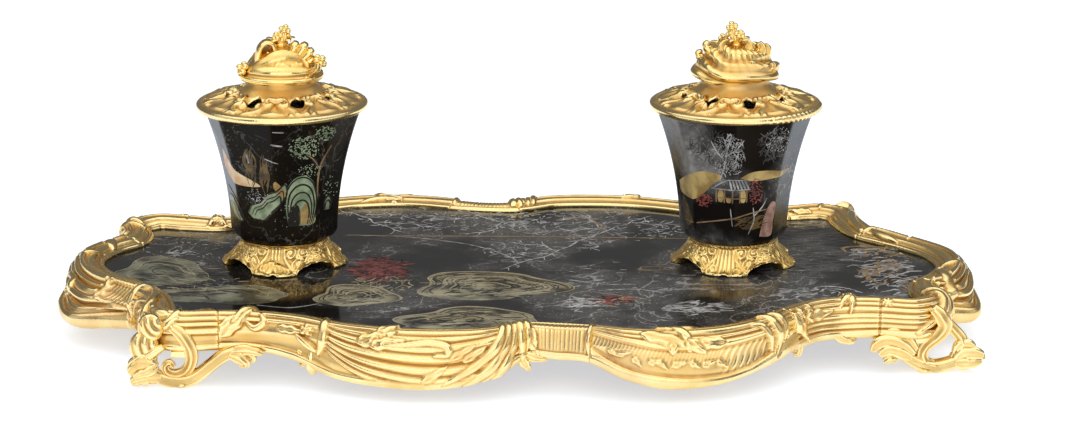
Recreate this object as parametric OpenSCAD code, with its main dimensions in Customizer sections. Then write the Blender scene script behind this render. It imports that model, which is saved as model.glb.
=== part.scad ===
// Inkstand: a lacquered serpentine tray in a gilt rim of twelve castings, on four scroll feet,
// with an ink pot and a sand pot that lift apart. Millimetres, +Z up.
// Origin: the middle of the tray on the table top, +X to the right, +Y to the back.

/* [Tray] */
// Width across the crest of the rim
crest_w = 380; // [340:2:420]
// Depth across the crest of the rim
crest_d = 222; // [200:2:250]
// Height of the board's underside above the table
stand_h = 17.5; // [15:0.5:24]
// Thickness of the wooden board
board_t = 6; // [5:0.5:10]
// Thickness of the lacquered panel
panel_t = 2.5; // [1.5:0.5:4]

/* [Rim castings] */
// Width of the inner lip, from the crest line
lip_w = 9; // [7:0.5:11]
// Distance from the crest line in to the rebate wall
rebate = 3; // [2:0.25:4]
// Wall of the hollow skirt
cast_wall = 3; // [2:0.25:4]
// Height of the band of reeds below the crest
reed_band = 9; // [7:0.5:10]
// Length of the lug under the board
lug_l = 12; // [9:0.5:16]
// Width of the lug
lug_w = 10; // [8:0.5:14]
// Thickness of the lug
lug_t = 1.5; // [1:0.25:2]

/* [Feet] */
// Distance of the foot's middle plane outside the crest line
foot_out = 4; // [2:0.5:5]
// Half width of the foot's scrolls, front to back
foot_half_w = 3.4; // [2.5:0.1:4.5]
// Thickness of the plate under the casting
foot_plate_t = 2.5; // [1.5:0.25:3]
// Radius of the flat sole
sole_r = 3.2; // [2:0.1:4]

/* [Pots] */
// Place of the ink pot across the tray
ink_x = -103; // [-115:1:-80]
// Place of the sand pot across the tray
sand_x = 94; // [80:1:115]
// Place of both pots, front to back
pot_y = 7; // [-10:1:20]
// Height of the gilt base mount
base_h = 12.5; // [10:0.5:18]
// Radius of the base mount at the table
base_r = 26.5; // [24:0.5:30]
// Height of the lacquered pot
pot_h = 59; // [50:0.5:70]
// Corner radius of the pot above its rounded bottom
pot_low_r = 23.6; // [22:0.1:26]
// Corner radius of the pot at its mouth
pot_top_r = 35.6; // [33:0.1:40]
// Thickness of the pot's wall
pot_wall = 2.4; // [2:0.1:3]
// Thickness of the pot's floor
pot_floor = 4; // [3:0.5:6]
// Depth of the ledge in the mouth
ledge_depth = 5; // [4.5:0.25:7]
// Wall of the lift-out liner
liner_wall = 1.2; // [0.8:0.1:1.5]

/* [Collars and caps] */
// Width of the collar's edge bead outside the pot
bead_w = 1.5; // [1:0.1:2.5]
// Height of the collar from the pot's mouth to the neck's top
collar_h = 13; // [11:0.5:17]
// Radius of the neck's bore
neck_bore = 12.5; // [10:0.25:14]
// Wall of the neck
neck_wall = 2.5; // [2:0.25:3.5]
// Number of openings through the collar
collar_holes = 6; // [4:1:8]
// Radius of the cap's lower edge
cap_r = 18; // [17.5:0.5:21]
// Height of the cap's dome
cap_h = 13; // [10:0.5:17]
// Number of twisted lobes on the cap
cap_lobes = 7; // [5:1:9]
// Height of the finial above the cap
finial_h = 9.5; // [8:0.5:14]
// Depth of the cap's spigot in the neck
spigot_l = 4; // [3:0.5:5]

/* [Fasteners] */
// Diameter of the wood screws
screw_d = 2.5; // [2:0.25:3]
// Depth that a screw bites into the board
screw_bite = 4; // [3:0.25:5]
// Diameter of the bolt through each pot
bolt_d = 4; // [3:0.25:5]
// Height of the nut on that bolt
nut_h = 3; // [2.5:0.25:4]

/* [Fits] */
// Gap between the castings and the edge of the board
edge_gap = 0.3; // [0.2:0.05:0.5]
// Gap round each piece that lifts off
lift_gap = 0.3; // [0.2:0.05:0.5]
// Gap round each fastener
hole_gap = 0.1; // [0.05:0.05:0.3]

/* [Hidden] */
$fn = 48;

gilt = [0.83, 0.62, 0.22];
lacquer = [0.07, 0.07, 0.07];
oak = [0.45, 0.32, 0.2];
steel = [0.6, 0.6, 0.6];
glass = [0.75, 0.82, 0.8];

// Heights worked out from the sizes above
panel_z = stand_h + board_t;
panel_top = panel_z + panel_t;
pot_z = panel_top + base_h;
mouth_z = pot_z + pot_h;
neck_top = mouth_z + collar_h;
cap_top = neck_top + cap_h;

// Half of the crest line as drawn at its first size, from the front middle round the right end.
// Each row is x, y, rise above the panel, bulge outside the crest, skirt below the board.
drawn_w = 380;
drawn_d = 222;
half_crest = [
    [2, -101, 3.5, 4, 2], [16, -102, 3, 4, 2], [30, -105, 3.5, 4.5, 2.5],
    [44, -109.5, 3.5, 5.5, 8], [60, -111, 3.5, 6, 11.5], [80, -107, 3.5, 6, 10.5], [98, -97, 4, 5.5, 6.5],
    [111, -83, 4.5, 5, 4], [123, -71, 4.5, 5, 3.5], [137, -66, 4.5, 5.5, 3.5], [152, -68, 5, 6, 2.2],
    [166, -70, 5, 6, 2.2], [176, -60, 5, 6, 2.2], [174, -46, 4.5, 6, 4],
    [176, -35, 4, 8, 6], [184, -24, 4, 15, 7.5], [190, -10, 4, 8.5, 6], [190, 4, 4, 7.5, 5.5],
    [186, 16, 4, 14, 7], [178, 28, 4, 17.5, 8], [168, 39, 4, 10, 6.5],
    [159, 49, 4, 6, 5], [155, 58, 4.5, 6, 5], [152, 70, 5, 6, 4], [149, 82, 5, 6, 2.2],
    [139, 88, 5, 6, 2.2], [124, 86, 4.5, 5.5, 2.2],
    [107, 86, 4, 5, 3], [90, 92, 4, 5.5, 5], [72, 102, 3.5, 6, 10], [52, 109, 3.5, 6, 11.5],
    [32, 111, 3.5, 6, 11.5], [13, 109, 3.5, 5.5, 8]
];
half = len(half_crest);
// Rows of half_crest where one casting ends and the next begins
joint_rows = [0, 2, 7, 14, 21, 26, half];
// Where the lugs lie along each casting, as shares of its length
lug_shares = [[0.5], [0.3, 0.7], [0.12], [0.3, 0.7], [0.3], [0.3, 0.7]];
// Stations for each row of the crest
steps = 3;
// Rows on each side that a station takes its direction from, which keeps the sections apart in corners
chord = 0.8;

function wrap(i) = (i % (2 * half) + 2 * half) % (2 * half);
function crest_row(i) =
    let (k = wrap(i), r = half_crest[k % half], turn = k < half ? 1 : -1)
    [turn * r[0] * crest_w / drawn_w, turn * r[1] * crest_d / drawn_d, r[2], r[3], r[4]];
// A point between four rows, on a curve that passes through the middle two
function between(a, b, c, d, t) =
    0.5 * (2 * b + (c - a) * t + (2 * a - 5 * b + 4 * c - d) * t * t + (3 * b - a - 3 * c + d) * t * t * t);
function crest(t) =
    let (i = floor(t))
    between(crest_row(i - 1), crest_row(i), crest_row(i + 1), crest_row(i + 2), t - i);
function flat(p) = [p[0], p[1]];
function unit(v) = v / norm(v);
function outward(t) =
    let (d = unit(flat(crest(t + chord)) - flat(crest(t - chord))))
    [d[1], -d[0]];
// The crest line moved out by n, or in where n is below zero
function beside(t, n) = flat(crest(t)) + n * outward(t);

// Section of a casting, as distances out from the crest line and heights.
// The upper reeds keep by the crest, however far the skirt bulges.
reed_reach = 6;
lip_edge = 0.8;
lip_bead = 1.9;
// Width of the bead along the lip and of the groove beside it
lip_bead_w = 1.4;
// Rows of the reeded face: share of the reeds' reach, share of the bulge, share of the band below the crest
reeds = [[0.35, 0, 0.22], [0.7, 0, 0.38], [0.6, 0, 0.55], [0.5, 0.5, 0.78], [0.3, 0.45, 1]];
// Rows of the skirt below the reeds, in the same way, with the share of the height that is left
skirts = [[0.25, 0.5, 0.35], [0, 1, 0.55], [0, 0.7, 1]];
// Largest share of a casting's height that the reeds take
reed_share = 0.62;
function skirt_z(row) = stand_h - row[4];
function outer_section(row) =
    let (rise = row[2], b = row[3], near = min(b, reed_reach), top = panel_top + rise, low = skirt_z(row),
         band = min(reed_band, reed_share * (top - low)), rest = top - low - band)
    concat(
        [[-lip_w, panel_top + lip_edge], [lip_bead_w - lip_w, panel_top + lip_bead],
         [2 * lip_bead_w - lip_w, panel_top + 0.7 * lip_bead], [-0.4 * lip_w, panel_top + 0.8 * rise],
         [-0.8, top], [1, top - 0.3]],
        [for (r = reeds) [r[0] * near + r[1] * b, top - r[2] * band]],
        [for (r = skirts) [r[0] * near + r[1] * b, top - band - r[2] * rest]]
    );
// Height that the rebate wall runs on below the board
rebate_over = 0.5;
function inner_section(row) =
    let (b = row[3], low = skirt_z(row))
    [
        [-lip_w, panel_top], [-rebate, panel_top], [-rebate, stand_h - rebate_over],
        [max(-rebate, 0.6 * b - cast_wall), stand_h - 0.5 * row[4] - 0.25 * rebate_over],
        [max(-rebate, 0.7 * b - cast_wall), low]
    ];
// The inner point that each outer point of a section is joined to in an end face
end_pairs = [0, 0, 0, 0, 1, 1, 1, 1, 2, 2, 2, 3, 3, 4];

function station_ring(t) =
    let (row = crest(t), o = outer_section(row), i = inner_section(row), n = len(i))
    [for (p = concat(o, [for (k = [n - 1:-1:0]) i[k]])) let (q = beside(t, p[0])) [q[0], q[1], p[1]]];

// Triangles of the first end face, clockwise seen from outside
function end_face(outer_n, inner_n) =
    let (inner = function (k) outer_n + inner_n - 1 - k)
    concat(
        [for (i = [0:outer_n - 2]) [i, i + 1, inner(end_pairs[i])]],
        [for (i = [0:outer_n - 2]) if (end_pairs[i + 1] != end_pairs[i])
            [i + 1, inner(end_pairs[i + 1]), inner(end_pairs[i])]]
    );
function reversed(face) = [for (i = [len(face) - 1:-1:0]) face[i]];
function side_faces(n, m, closed = false) =
    [for (j = [0:m - (closed ? 1 : 2)], i = [0:n - 1], first = [true, false])
        let (next = (i + 1) % n, up = (j + 1) % m,
             a = j * n + i, b = j * n + next, c = up * n + next, d = up * n + i)
        first ? [a, d, c] : [a, c, b]];

// Solid through a row of convex rings
module loft(rings) {
    n = len(rings[0]);
    m = len(rings);
    first = [for (i = [0:n - 1]) i];
    last = [for (i = [n - 1:-1:0]) (m - 1) * n + i];
    polyhedron([for (r = rings) each r], concat([first], side_faces(n, m), [last]));
}

// Solid of a closed section carried once round the Z axis: rings follow each other round
module round_loft(rings) {
    polyhedron([for (r = rings) each r], side_faces(len(rings[0]), len(rings), true));
}

module rim_solid(from, to) {
    m = (to - from) * steps;
    rings = [for (j = [0:m]) station_ring(from + j / steps)];
    outer_n = len(outer_section(crest(from)));
    inner_n = len(inner_section(crest(from)));
    n = outer_n + inner_n;
    first = end_face(outer_n, inner_n);
    last = [for (f = first) reversed([for (i = f) m * n + i])];
    polyhedron([for (r = rings) each r], concat(first, side_faces(n, m + 1), last));
}

// Children in the frame of a station: local +X points out of the tray
module at_station(t) {
    n = outward(t);
    p = crest(t);
    translate([p[0], p[1], 0]) rotate([0, 0, atan2(n[1], n[0])]) children();
}

function lug_stations(k) =
    let (h = k < len(lug_shares) ? 0 : half, j = k % len(lug_shares),
         a = joint_rows[j], b = joint_rows[j + 1])
    [for (s = lug_shares[j]) h + a + s * (b - a)];
all_lugs = [for (k = [0:2 * len(lug_shares) - 1]) each lug_stations(k)];
// Distance from the crest line in to the lug's screw
lug_screw = rebate + 0.55 * lug_l;
// How far the lug runs into the casting
lug_root = rebate + 2;

module lug() {
    difference() {
        translate([-rebate - lug_l, -lug_w / 2, stand_h - lug_t])
            cube([lug_l + lug_root, lug_w, lug_t]);
        translate([-lug_screw, 0, stand_h - 2 * lug_t])
            cylinder(d = screw_d + 2 * hole_gap, h = 3 * lug_t);
    }
}

// Casting k of the twelve, counted from the front middle round the right end
module rim_casting(k) {
    h = k < len(lug_shares) ? 0 : half;
    j = k % len(lug_shares);
    color(gilt) union() {
        rim_solid(h + joint_rows[j], h + joint_rows[j + 1]);
        for (t = lug_stations(k)) at_station(t) lug();
    }
}

// Outline of the board and panel, inside the rebate
board_outline = [for (j = [0:2 * half * steps - 1]) beside(j / steps, -rebate - edge_gap)];
// The pots keep their share of the tray's width and depth
function pot_place(x) = [x * crest_w / drawn_w, pot_y * crest_d / drawn_d];
pot_places = [pot_place(ink_x), pot_place(sand_x)];

module lacquer_panel() {
    color(lacquer) difference() {
        translate([0, 0, panel_z]) linear_extrude(panel_t) polygon(board_outline);
        for (p = pot_places) translate([p[0], p[1], panel_z - panel_t])
            cylinder(d = bolt_d + 2 * hole_gap, h = 3 * panel_t);
    }
}

module tray_board() {
    color(oak) difference() {
        translate([0, 0, stand_h]) linear_extrude(board_t) polygon(board_outline);
        for (p = pot_places) translate([p[0], p[1], stand_h - board_t])
            cylinder(d = bolt_d + 2 * hole_gap, h = 3 * board_t);
        for (t = all_lugs) at_station(t) translate([-lug_screw, 0, stand_h]) screw_hole();
        for (f = [0:3]) foot_frame(f) translate([foot_screw_u, foot_screw_w, stand_h]) screw_hole();
    }
}

// Pilot hole from the underside of the board
module screw_hole() {
    translate([0, 0, -1]) cylinder(d = screw_d + 2 * hole_gap, h = screw_bite + hole_gap + 1);
}

screw_head_h = 1.6;
// Round-headed wood screw: the origin is under the head's seat, and the shank points up
module wood_screw(grip) {
    cylinder(d = screw_d, h = grip + screw_bite);
    rotate_extrude() polygon([
        [0, 0], [screw_d, 0], [screw_d, -0.3 * screw_head_h], [0.7 * screw_d, -screw_head_h],
        [0, -screw_head_h]
    ]);
}

module rim_screws() {
    color(steel) for (t = all_lugs) at_station(t)
        translate([-lug_screw, 0, stand_h - lug_t]) wood_screw(lug_t);
}

module foot_screws() {
    color(steel) for (f = [0:3]) foot_frame(f)
        translate([foot_screw_u, foot_screw_w, foot_top - foot_plate_t])
            wood_screw(stand_h - foot_top + foot_plate_t);
}

// Stations of the front right and front left feet, and the skirt row that they seat under
foot_stations = [11.3, half + 25];
foot_row = 11;
foot_top = stand_h - half_crest[foot_row][4];
// The block that carries the screw: its place along and across the foot, and its size
foot_block_u = -14;
foot_block_l = 12;
foot_block_w = 10;
sole_h = 2;
foot_block_in = foot_out + rebate + 3.5;
// The strip that runs from the block out under the casting
foot_strip_u = -5;
foot_strip_l = 9;
foot_strip_in = foot_block_in + 2.5;
foot_screw_u = foot_block_u + foot_block_l / 2;
foot_screw_w = -foot_block_in - foot_block_w / 2;

// Frame of foot f: local +X runs to the toe, local +Y points out of the tray.
// Feet 0 and 1 are front right and front left, feet 2 and 3 are their turned twins at the back.
module foot_frame(f) {
    t = foot_stations[f % 2];
    p = flat(crest(t)) + [0, -foot_out];
    rotate([0, 0, f < 2 ? 0 : 180]) translate([p[0], p[1], 0])
        mirror([f % 2, 0, 0]) mirror([0, 1, 0]) children();
}

// Foot scrolls as drawn for a plate 15.3 above the table: along the foot, height, half thickness
drawn_foot = 15.3;
long_scroll = [
    [-24, 9.4, 1], [-26.3, 10.6, 1.2], [-24, 12.2, 1.4], [-19, 11.8, 1.7], [-13.5, 9, 2], [-8, 5.4, 2.3],
    [-3, 3.2, 2.5], [3, 2.8, 2.5], [8.5, 4.2, 2.4], [13, 6.2, 2.4], [16.5, 8.6, 2]
];
middle_strut = [
    [5.5, 13.7, 1.5], [2.8, 12.4, 1.9], [0.2, 10, 2], [-0.4, 7.2, 2], [1.5, 4.6, 2], [4, 3.4, 1.6]
];
top_strut = [[3, 13.8, 1.2], [8, 13.8, 1.3], [11.5, 13.7, 1.5], [14.5, 13.2, 1.6]];
// The leg at the toe stands clear of the casting, so each foot of a pair has its own
knees = [
    [[13, 20.5, 1.1], [14.8, 18, 2.2], [15.2, 14.5, 2.7], [14.6, 11, 2.7], [16, 7.6, 3], [19.5, 5, 2.6],
     [23.5, 3.6, 1.5]],
    [[15.8, 21.5, 1.2], [16.8, 18, 2.2], [16.4, 14.5, 2.7], [15.2, 11, 2.7], [16, 7.6, 3], [19.5, 5, 2.6],
     [23.5, 3.6, 1.5]]
];

function stretch(list) = [for (p = list) [p[0], p[1] * foot_top / drawn_foot, p[2]]];
function along(list, t) =
    let (n = len(list) - 1, i = min(floor(t), n - 1))
    between(list[max(i - 1, 0)], list[i], list[i + 1], list[min(i + 2, n)], t - i);
// Eight-sided ring round a point of a scroll, square to the scroll
function scroll_ring(list, t) =
    let (e = 0.1, n = len(list) - 1, p = along(list, t),
         d = unit(flat(along(list, min(t + e, n))) - flat(along(list, max(t - e, 0)))),
         wide = foot_half_w * (0.35 + 0.65 * min(1, p[2] / 2)))
    [for (k = [0:7]) let (c = p[2] * cos(45 * k + 22.5), s = wide * sin(45 * k + 22.5))
        [p[0] - d[1] * c, -s, p[1] + d[0] * c]];
module scroll(list, sub) {
    n = (len(list) - 1) * sub;
    loft([for (j = [0:n]) scroll_ring(stretch(list), j / sub)]);
}

module foot(f) {
    color(gilt) foot_frame(f) difference() {
        union() {
            scroll(long_scroll, 2);
            scroll(middle_strut, 1);
            scroll(top_strut, 1);
            scroll(knees[f % 2], 1);
            cylinder(r = sole_r, h = sole_h);
            translate([foot_block_u, -foot_block_in - foot_block_w, foot_top - foot_plate_t])
                cube([foot_block_l, foot_block_w, stand_h - foot_top + foot_plate_t]);
            translate([foot_strip_u, -foot_strip_in, foot_top - foot_plate_t])
                cube([foot_strip_l, foot_strip_in + 0.6 * foot_half_w, foot_plate_t]);
        }
        translate([foot_screw_u, foot_screw_w, 0])
            cylinder(d = screw_d + 2 * hole_gap, h = 2 * stand_h);
    }
}

// Angle of the pots' first corner, a little left of the front
pot_turn = -93;
pot_sides = 8;
// How the pot's side flares: 1 is a straight cone
flare = 1.95;
// Height and drawn-in width of the rounded bottom
pot_round = 4;
pot_draw_in = 2.2;
function pot_corner(z) =
    let (low = pot_low_r - pot_draw_in * pow(max(0, 1 - z / pot_round), 2))
    low + (pot_top_r - pot_low_r) * pow(z / pot_h, flare);
// Largest round bore that leaves the wall at the middle of a side
function pot_bore(z) = pot_corner(z) * cos(180 / pot_sides) - pot_wall;
pot_levels = concat([0, 0.2, 0.5, 1] * pot_round,
    [for (k = [1:6]) pot_round + (pot_h - pot_round) * k / 6]);

module pot_body() {
    loft([for (z = pot_levels)
        [for (k = [0:pot_sides - 1]) let (a = pot_turn + 360 / pot_sides * k)
            [pot_corner(z) * cos(a), pot_corner(z) * sin(a), z]]]);
}

washer_t = 0.8;
bolt_tail = 1;
// Height of the liner's underside above the pot's bottom, clear of the bolt
liner_low = pot_floor + washer_t + nut_h + bolt_tail + 1;
ledge_z = pot_h - ledge_depth;
liner_lip = 0.8;
// Width of the ledge that the liner hangs on
ledge_w = 2;
cavity_levels = [for (k = [0:5]) pot_floor + (ledge_z - pot_floor) * k / 5];
ledge_r = pot_bore(ledge_z);
function cavity(z) = min(pot_bore(z), ledge_r - ledge_w);

module pot_shell() {
    color(lacquer) difference() {
        pot_body();
        rotate_extrude() polygon(concat(
            [[0, pot_floor]], [for (z = cavity_levels) [cavity(z), z]],
            [[ledge_r, ledge_z], [ledge_r, pot_h + 1], [0, pot_h + 1]]));
        translate([0, 0, -1]) cylinder(d = bolt_d + 2 * hole_gap, h = pot_floor + 2);
    }
}

// Cup that hangs on the ledge by its lip
module liner() {
    levels = [for (k = [0:4]) liner_low + (ledge_z - liner_low) * k / 4];
    color(glass) rotate_extrude() polygon(concat(
        [[0, liner_low]], [for (z = levels) [cavity(z) - lift_gap, z]],
        [[ledge_r - lift_gap, ledge_z], [ledge_r - lift_gap, ledge_z + liner_lip],
         [cavity(ledge_z) - lift_gap - liner_wall, ledge_z + liner_lip]],
        [for (k = [4:-1:1]) [cavity(levels[k]) - lift_gap - liner_wall, levels[k]]],
        [[cavity(liner_low) - lift_gap - liner_wall, liner_low + liner_wall], [0, liner_low + liner_wall]]));
}

// Gilt base on four feet: the ring swells at each foot, and is drawn in and arched up between them
base_steps = 40;
base_feet = 4;
base_swell = 0.06;
// How far the base's top stands inside the pot's low corners
base_inset = 5.5;
base_top_r = pot_low_r - base_inset;
base_hole = bolt_d / 2 + hole_gap;
// Height of the arch between two feet, and height up to which the feet swell
base_arch = 0.34 * base_h;
swell_h = 0.7 * base_h;
module base_mount() {
    outer = [
        [base_top_r, base_h], [base_top_r + 1.2, 0.92 * base_h], [base_top_r + 0.4, 0.82 * base_h],
        [0.86 * base_top_r, 0.66 * base_h], [0.78 * base_r, 0.42 * base_h], [0.95 * base_r, 0.22 * base_h],
        [base_r, 0.08 * base_h], [0.97 * base_r, 0]
    ];
    inner = [[0.8 * base_r, 0], [0.66 * base_r, 0.4 * base_h], [base_hole, swell_h], [base_hole, base_h]];
    color(gilt) round_loft([for (j = [0:base_steps - 1])
        let (a = 360 * j / base_steps, foot = cos(base_feet * (a + 90)), leaf = cos(6 * base_feet * a),
             lift = base_arch * sqrt(max(0, -foot)))
        [for (p = concat(outer, inner))
            let (s = max(0, 1 - p[1] / swell_h), r = p[0] * (1 + base_swell * s * (foot + 0.5 * leaf)))
            [r * cos(a), r * sin(a), p[1] + lift * s]]]);
}

bolt_head_h = 2.5;
bolt_head_r = 1.1 * bolt_d;
bolt_l = pot_z + pot_floor + washer_t + nut_h + bolt_tail - stand_h;
module pot_bolt() {
    color(steel) translate([0, 0, stand_h]) {
        cylinder(d = bolt_d, h = bolt_l);
        difference() {
            translate([0, 0, -bolt_head_h]) cylinder(r = bolt_head_r, h = bolt_head_h);
            translate([-2 * bolt_head_r, -0.5, -1.5 * bolt_head_h]) cube([4 * bolt_head_r, 1, bolt_head_h]);
        }
    }
}

module pot_washer() {
    color(steel) translate([0, 0, pot_z + pot_floor]) difference() {
        cylinder(r = 1.6 * bolt_d, h = washer_t);
        translate([0, 0, -1]) cylinder(d = bolt_d + 2 * hole_gap, h = washer_t + 2);
    }
}

module pot_nut() {
    color(steel) translate([0, 0, pot_z + pot_floor + washer_t]) difference() {
        cylinder(r = bolt_d, h = nut_h, $fn = 6);
        translate([0, 0, -1]) cylinder(d = bolt_d + 2 * hole_gap, h = nut_h + 2);
    }
}

// Sizes of the collar, measured from the pot's mouth up
collar_t = 2;
edge_drop = 2;
collar_r = pot_top_r + lift_gap + bead_w;
neck_r = neck_bore + neck_wall;
collar_spigot = ledge_depth - liner_lip - lift_gap;
spigot_r = ledge_r - lift_gap;
collar_rib_r = 1.7;
// Lowest height of a rib, clear of the pot's mouth
rib_floor = 0.4;
sifter_t = 1;
// Height of the ledge in the neck that the sifter lies on
sifter_z = collar_h - spigot_l - sifter_t - 1;
sifter_ledge = 1.5;
// Holes of the sifter: diameter, and distance from ring to ring
sift_d = 1.8;
sift_pitch = 0.34 * neck_bore;

// Line of the dome from the edge bead in to the neck, as radius and height
function dome(s) =
    let (r0 = collar_r - 2.2, r1 = neck_r + 0.4)
    [r0 + (r1 - r0) * s, 1.2 + (collar_h - 3.6) * pow(s, dome_curve)];
dome_n = 8;
// How the dome rises: 1 is a straight cone
dome_curve = 2;

// Opening through the dome, wide outside and narrow inside
module collar_opening() {
    middle = (collar_r + neck_r) / 2;
    long = 0.26 * (collar_r - neck_r);
    wide = 0.24 * 360 / collar_holes * PI / 180 * middle;
    linear_extrude(3 * collar_h, center = true) polygon([
        for (a = [0:20:340]) [middle - 2 + long * cos(a), wide * sin(a) * (1 + 0.35 * cos(a))]
    ]);
}

// Scrolled rib up the dome between two openings, ending in a curl by the edge
module collar_rib() {
    path = [for (s = [0.05, 0.25, 0.5, 0.75, 0.95])
        [dome(s)[0], dome(s)[1], collar_rib_r * (1.35 - 0.7 * s)]];
    loft([for (p = path) [for (k = [0:5])
        [p[0], -1.5 * p[2] * cos(60 * k), max(rib_floor, p[1] + 0.9 * p[2] * sin(60 * k))]]]);
}

module collar_body() {
    ring = [for (k = [0:dome_n]) dome(k / dome_n)];
    color(gilt) difference() {
        union() {
            difference() {
                rotate_extrude() polygon(concat(
                    [[collar_r - bead_w, -edge_drop], [collar_r - 0.5, -edge_drop + 0.3], [collar_r, -0.4],
                     [collar_r - 0.6, 1]],
                    ring,
                    [[neck_r - 0.6, collar_h - 2], [neck_r + 0.5, collar_h - 1], [neck_r, collar_h],
                     [neck_bore, collar_h], [neck_bore, sifter_z], [neck_bore - sifter_ledge, sifter_z],
                     [neck_bore - sifter_ledge, sifter_z - collar_t]],
                    [for (k = [dome_n - 1:-1:1]) let (p = dome(k / dome_n))
                        if (p[0] < spigot_r - collar_t) p - [0, collar_t]],
                    [[spigot_r - collar_t, 0], [spigot_r - collar_t, -collar_spigot],
                     [spigot_r, -collar_spigot], [spigot_r, 0],
                     [collar_r - bead_w, 0]]));
                for (k = [0:collar_holes - 1]) rotate([0, 0, 360 / collar_holes * (k + 0.5)])
                    collar_opening();
            }
            for (k = [0:collar_holes - 1]) rotate([0, 0, 360 / collar_holes * k]) collar_rib();
        }
        translate([0, 0, -collar_h]) cylinder(r = neck_bore - sifter_ledge, h = 3 * collar_h);
    }
}

module sifter() {
    color(gilt) difference() {
        cylinder(r = neck_bore - lift_gap, h = sifter_t);
        translate([0, 0, -1]) {
            cylinder(d = sift_d, h = sifter_t + 2);
            for (ring = [1, 2], k = [0:6 * ring - 1]) rotate([0, 0, 60 * k / ring])
                translate([sift_pitch * ring, 0, 0]) cylinder(d = sift_d, h = sifter_t + 2);
        }
    }
}

// Cap: a dome of twisted lobes, with a hollow spigot that fits the neck
cap_steps = 42;
cap_twist = 55;
// Wall of the spigot, and height of the hollow above the neck
spigot_wall = 2;
cap_hollow = 0.35 * cap_h;
// Stud of the finial, and radius of its seat
stud_r = 1.5;
seat_r = 4;
// How far the lobes swell, as a share of the radius
lobe_swell = 0.07;
module cap_body() {
    levels = [[0, cap_r - 1], [0.06, cap_r], [0.2, cap_r - 0.3], [0.42, 0.9 * cap_r], [0.62, 0.74 * cap_r],
              [0.8, 0.52 * cap_r], [0.93, seat_r + 2], [1, seat_r + 0.6]];
    rings = [for (p = levels) [for (j = [0:cap_steps - 1])
        let (a = 360 * j / cap_steps, lobe = lobe_swell * sin(180 * p[0]),
             r = p[1] * (1 + lobe * cos(cap_lobes * (a + cap_twist * p[0]))))
        [r * cos(a), r * sin(a), cap_h * p[0]]]];
    color(gilt) difference() {
        union() {
            loft(rings);
            translate([0, 0, -spigot_l]) cylinder(r = neck_bore - lift_gap, h = spigot_l + 2);
        }
        translate([0, 0, -spigot_l - 1])
            cylinder(r = neck_bore - lift_gap - spigot_wall, h = spigot_l + 1 + cap_hollow);
        translate([0, 0, 0.5 * cap_h]) cylinder(r = stud_r + hole_gap, h = cap_h);
    }
}

// Berried sprig on a stud: five berries round a taller one, over three leaves, leaning to local +X
finial_lean = 22;
module finial_body() {
    berry = 0.19 * finial_h;
    color(gilt) union() {
        translate([0, 0, -0.4 * cap_h]) cylinder(r = stud_r, h = 0.4 * cap_h + 1);
        cylinder(r1 = seat_r, r2 = 2, h = 0.3 * finial_h);
        rotate([0, finial_lean, 0]) {
            cylinder(r = 1.1, h = 0.75 * finial_h);
            translate([0, 0, finial_h - berry]) sphere(berry);
            for (k = [0:4]) rotate([0, 0, 72 * k])
                translate([1.3 * berry, 0, 0.45 * finial_h + 0.08 * k * finial_h]) sphere(0.9 * berry);
        }
        for (k = [0:2]) rotate([0, 0, 30 + 120 * k]) loft([
            for (p = [[1, 0.12, 1], [3.2, 0.3, 1.6], [5.6, 0.42, 1.5], [7.2, 0.3, 0.8]])
                [for (s = [0:5]) [p[0] + 0.3 * p[2] * sin(60 * s), p[2] * cos(60 * s),
                    finial_h * p[1] + 0.5 * p[2] * sin(60 * s)]]
        ]);
    }
}

module at_pot(x) {
    translate([pot_place(x)[0], pot_place(x)[1], 0]) children();
}
// Turn of each collar, cap and finial, which were put back as they came
ink_collar_turn = 0;
sand_collar_turn = 25;
ink_cap_turn = 20;
sand_cap_turn = 140;
ink_finial_turn = 0;
sand_finial_turn = 180;

lacquer_panel();
tray_board();
rim_casting(0);  // rim_front_centre
rim_casting(1);  // rim_front_right_belly
rim_casting(2);  // rim_front_right_corner
rim_casting(3);  // rim_right_end
rim_casting(4);  // rim_back_right_corner
rim_casting(5);  // rim_back_right_belly
rim_casting(6);  // rim_back_centre
rim_casting(7);  // rim_back_left_belly
rim_casting(8);  // rim_back_left_corner
rim_casting(9);  // rim_left_end
rim_casting(10);  // rim_front_left_corner
rim_casting(11);  // rim_front_left_belly
foot(0);  // foot_front_right
foot(1);  // foot_front_left
foot(2);  // foot_back_left
foot(3);  // foot_back_right
rim_screws();
foot_screws();
at_pot(ink_x) translate([0, 0, panel_top]) base_mount();  // ink_base
at_pot(ink_x) translate([0, 0, pot_z]) pot_shell();  // ink_pot
at_pot(ink_x) pot_bolt();  // ink_bolt
at_pot(ink_x) pot_washer();  // ink_washer
at_pot(ink_x) pot_nut();  // ink_nut
at_pot(ink_x) translate([0, 0, pot_z]) liner();  // ink_liner
at_pot(ink_x) translate([0, 0, mouth_z]) rotate([0, 0, ink_collar_turn]) collar_body();  // ink_collar
at_pot(ink_x) translate([0, 0, neck_top]) rotate([0, 0, ink_cap_turn]) cap_body();  // ink_cap
at_pot(ink_x) translate([0, 0, cap_top]) rotate([0, 0, ink_finial_turn]) finial_body();  // ink_finial
at_pot(sand_x) translate([0, 0, panel_top]) base_mount();  // sand_base
at_pot(sand_x) translate([0, 0, pot_z]) pot_shell();  // sand_pot
at_pot(sand_x) pot_bolt();  // sand_bolt
at_pot(sand_x) pot_washer();  // sand_washer
at_pot(sand_x) pot_nut();  // sand_nut
at_pot(sand_x) translate([0, 0, pot_z]) liner();  // sand_liner
at_pot(sand_x) translate([0, 0, mouth_z]) rotate([0, 0, sand_collar_turn]) collar_body();  // sand_collar
at_pot(sand_x) translate([0, 0, mouth_z + sifter_z]) sifter();  // sand_sifter
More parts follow.
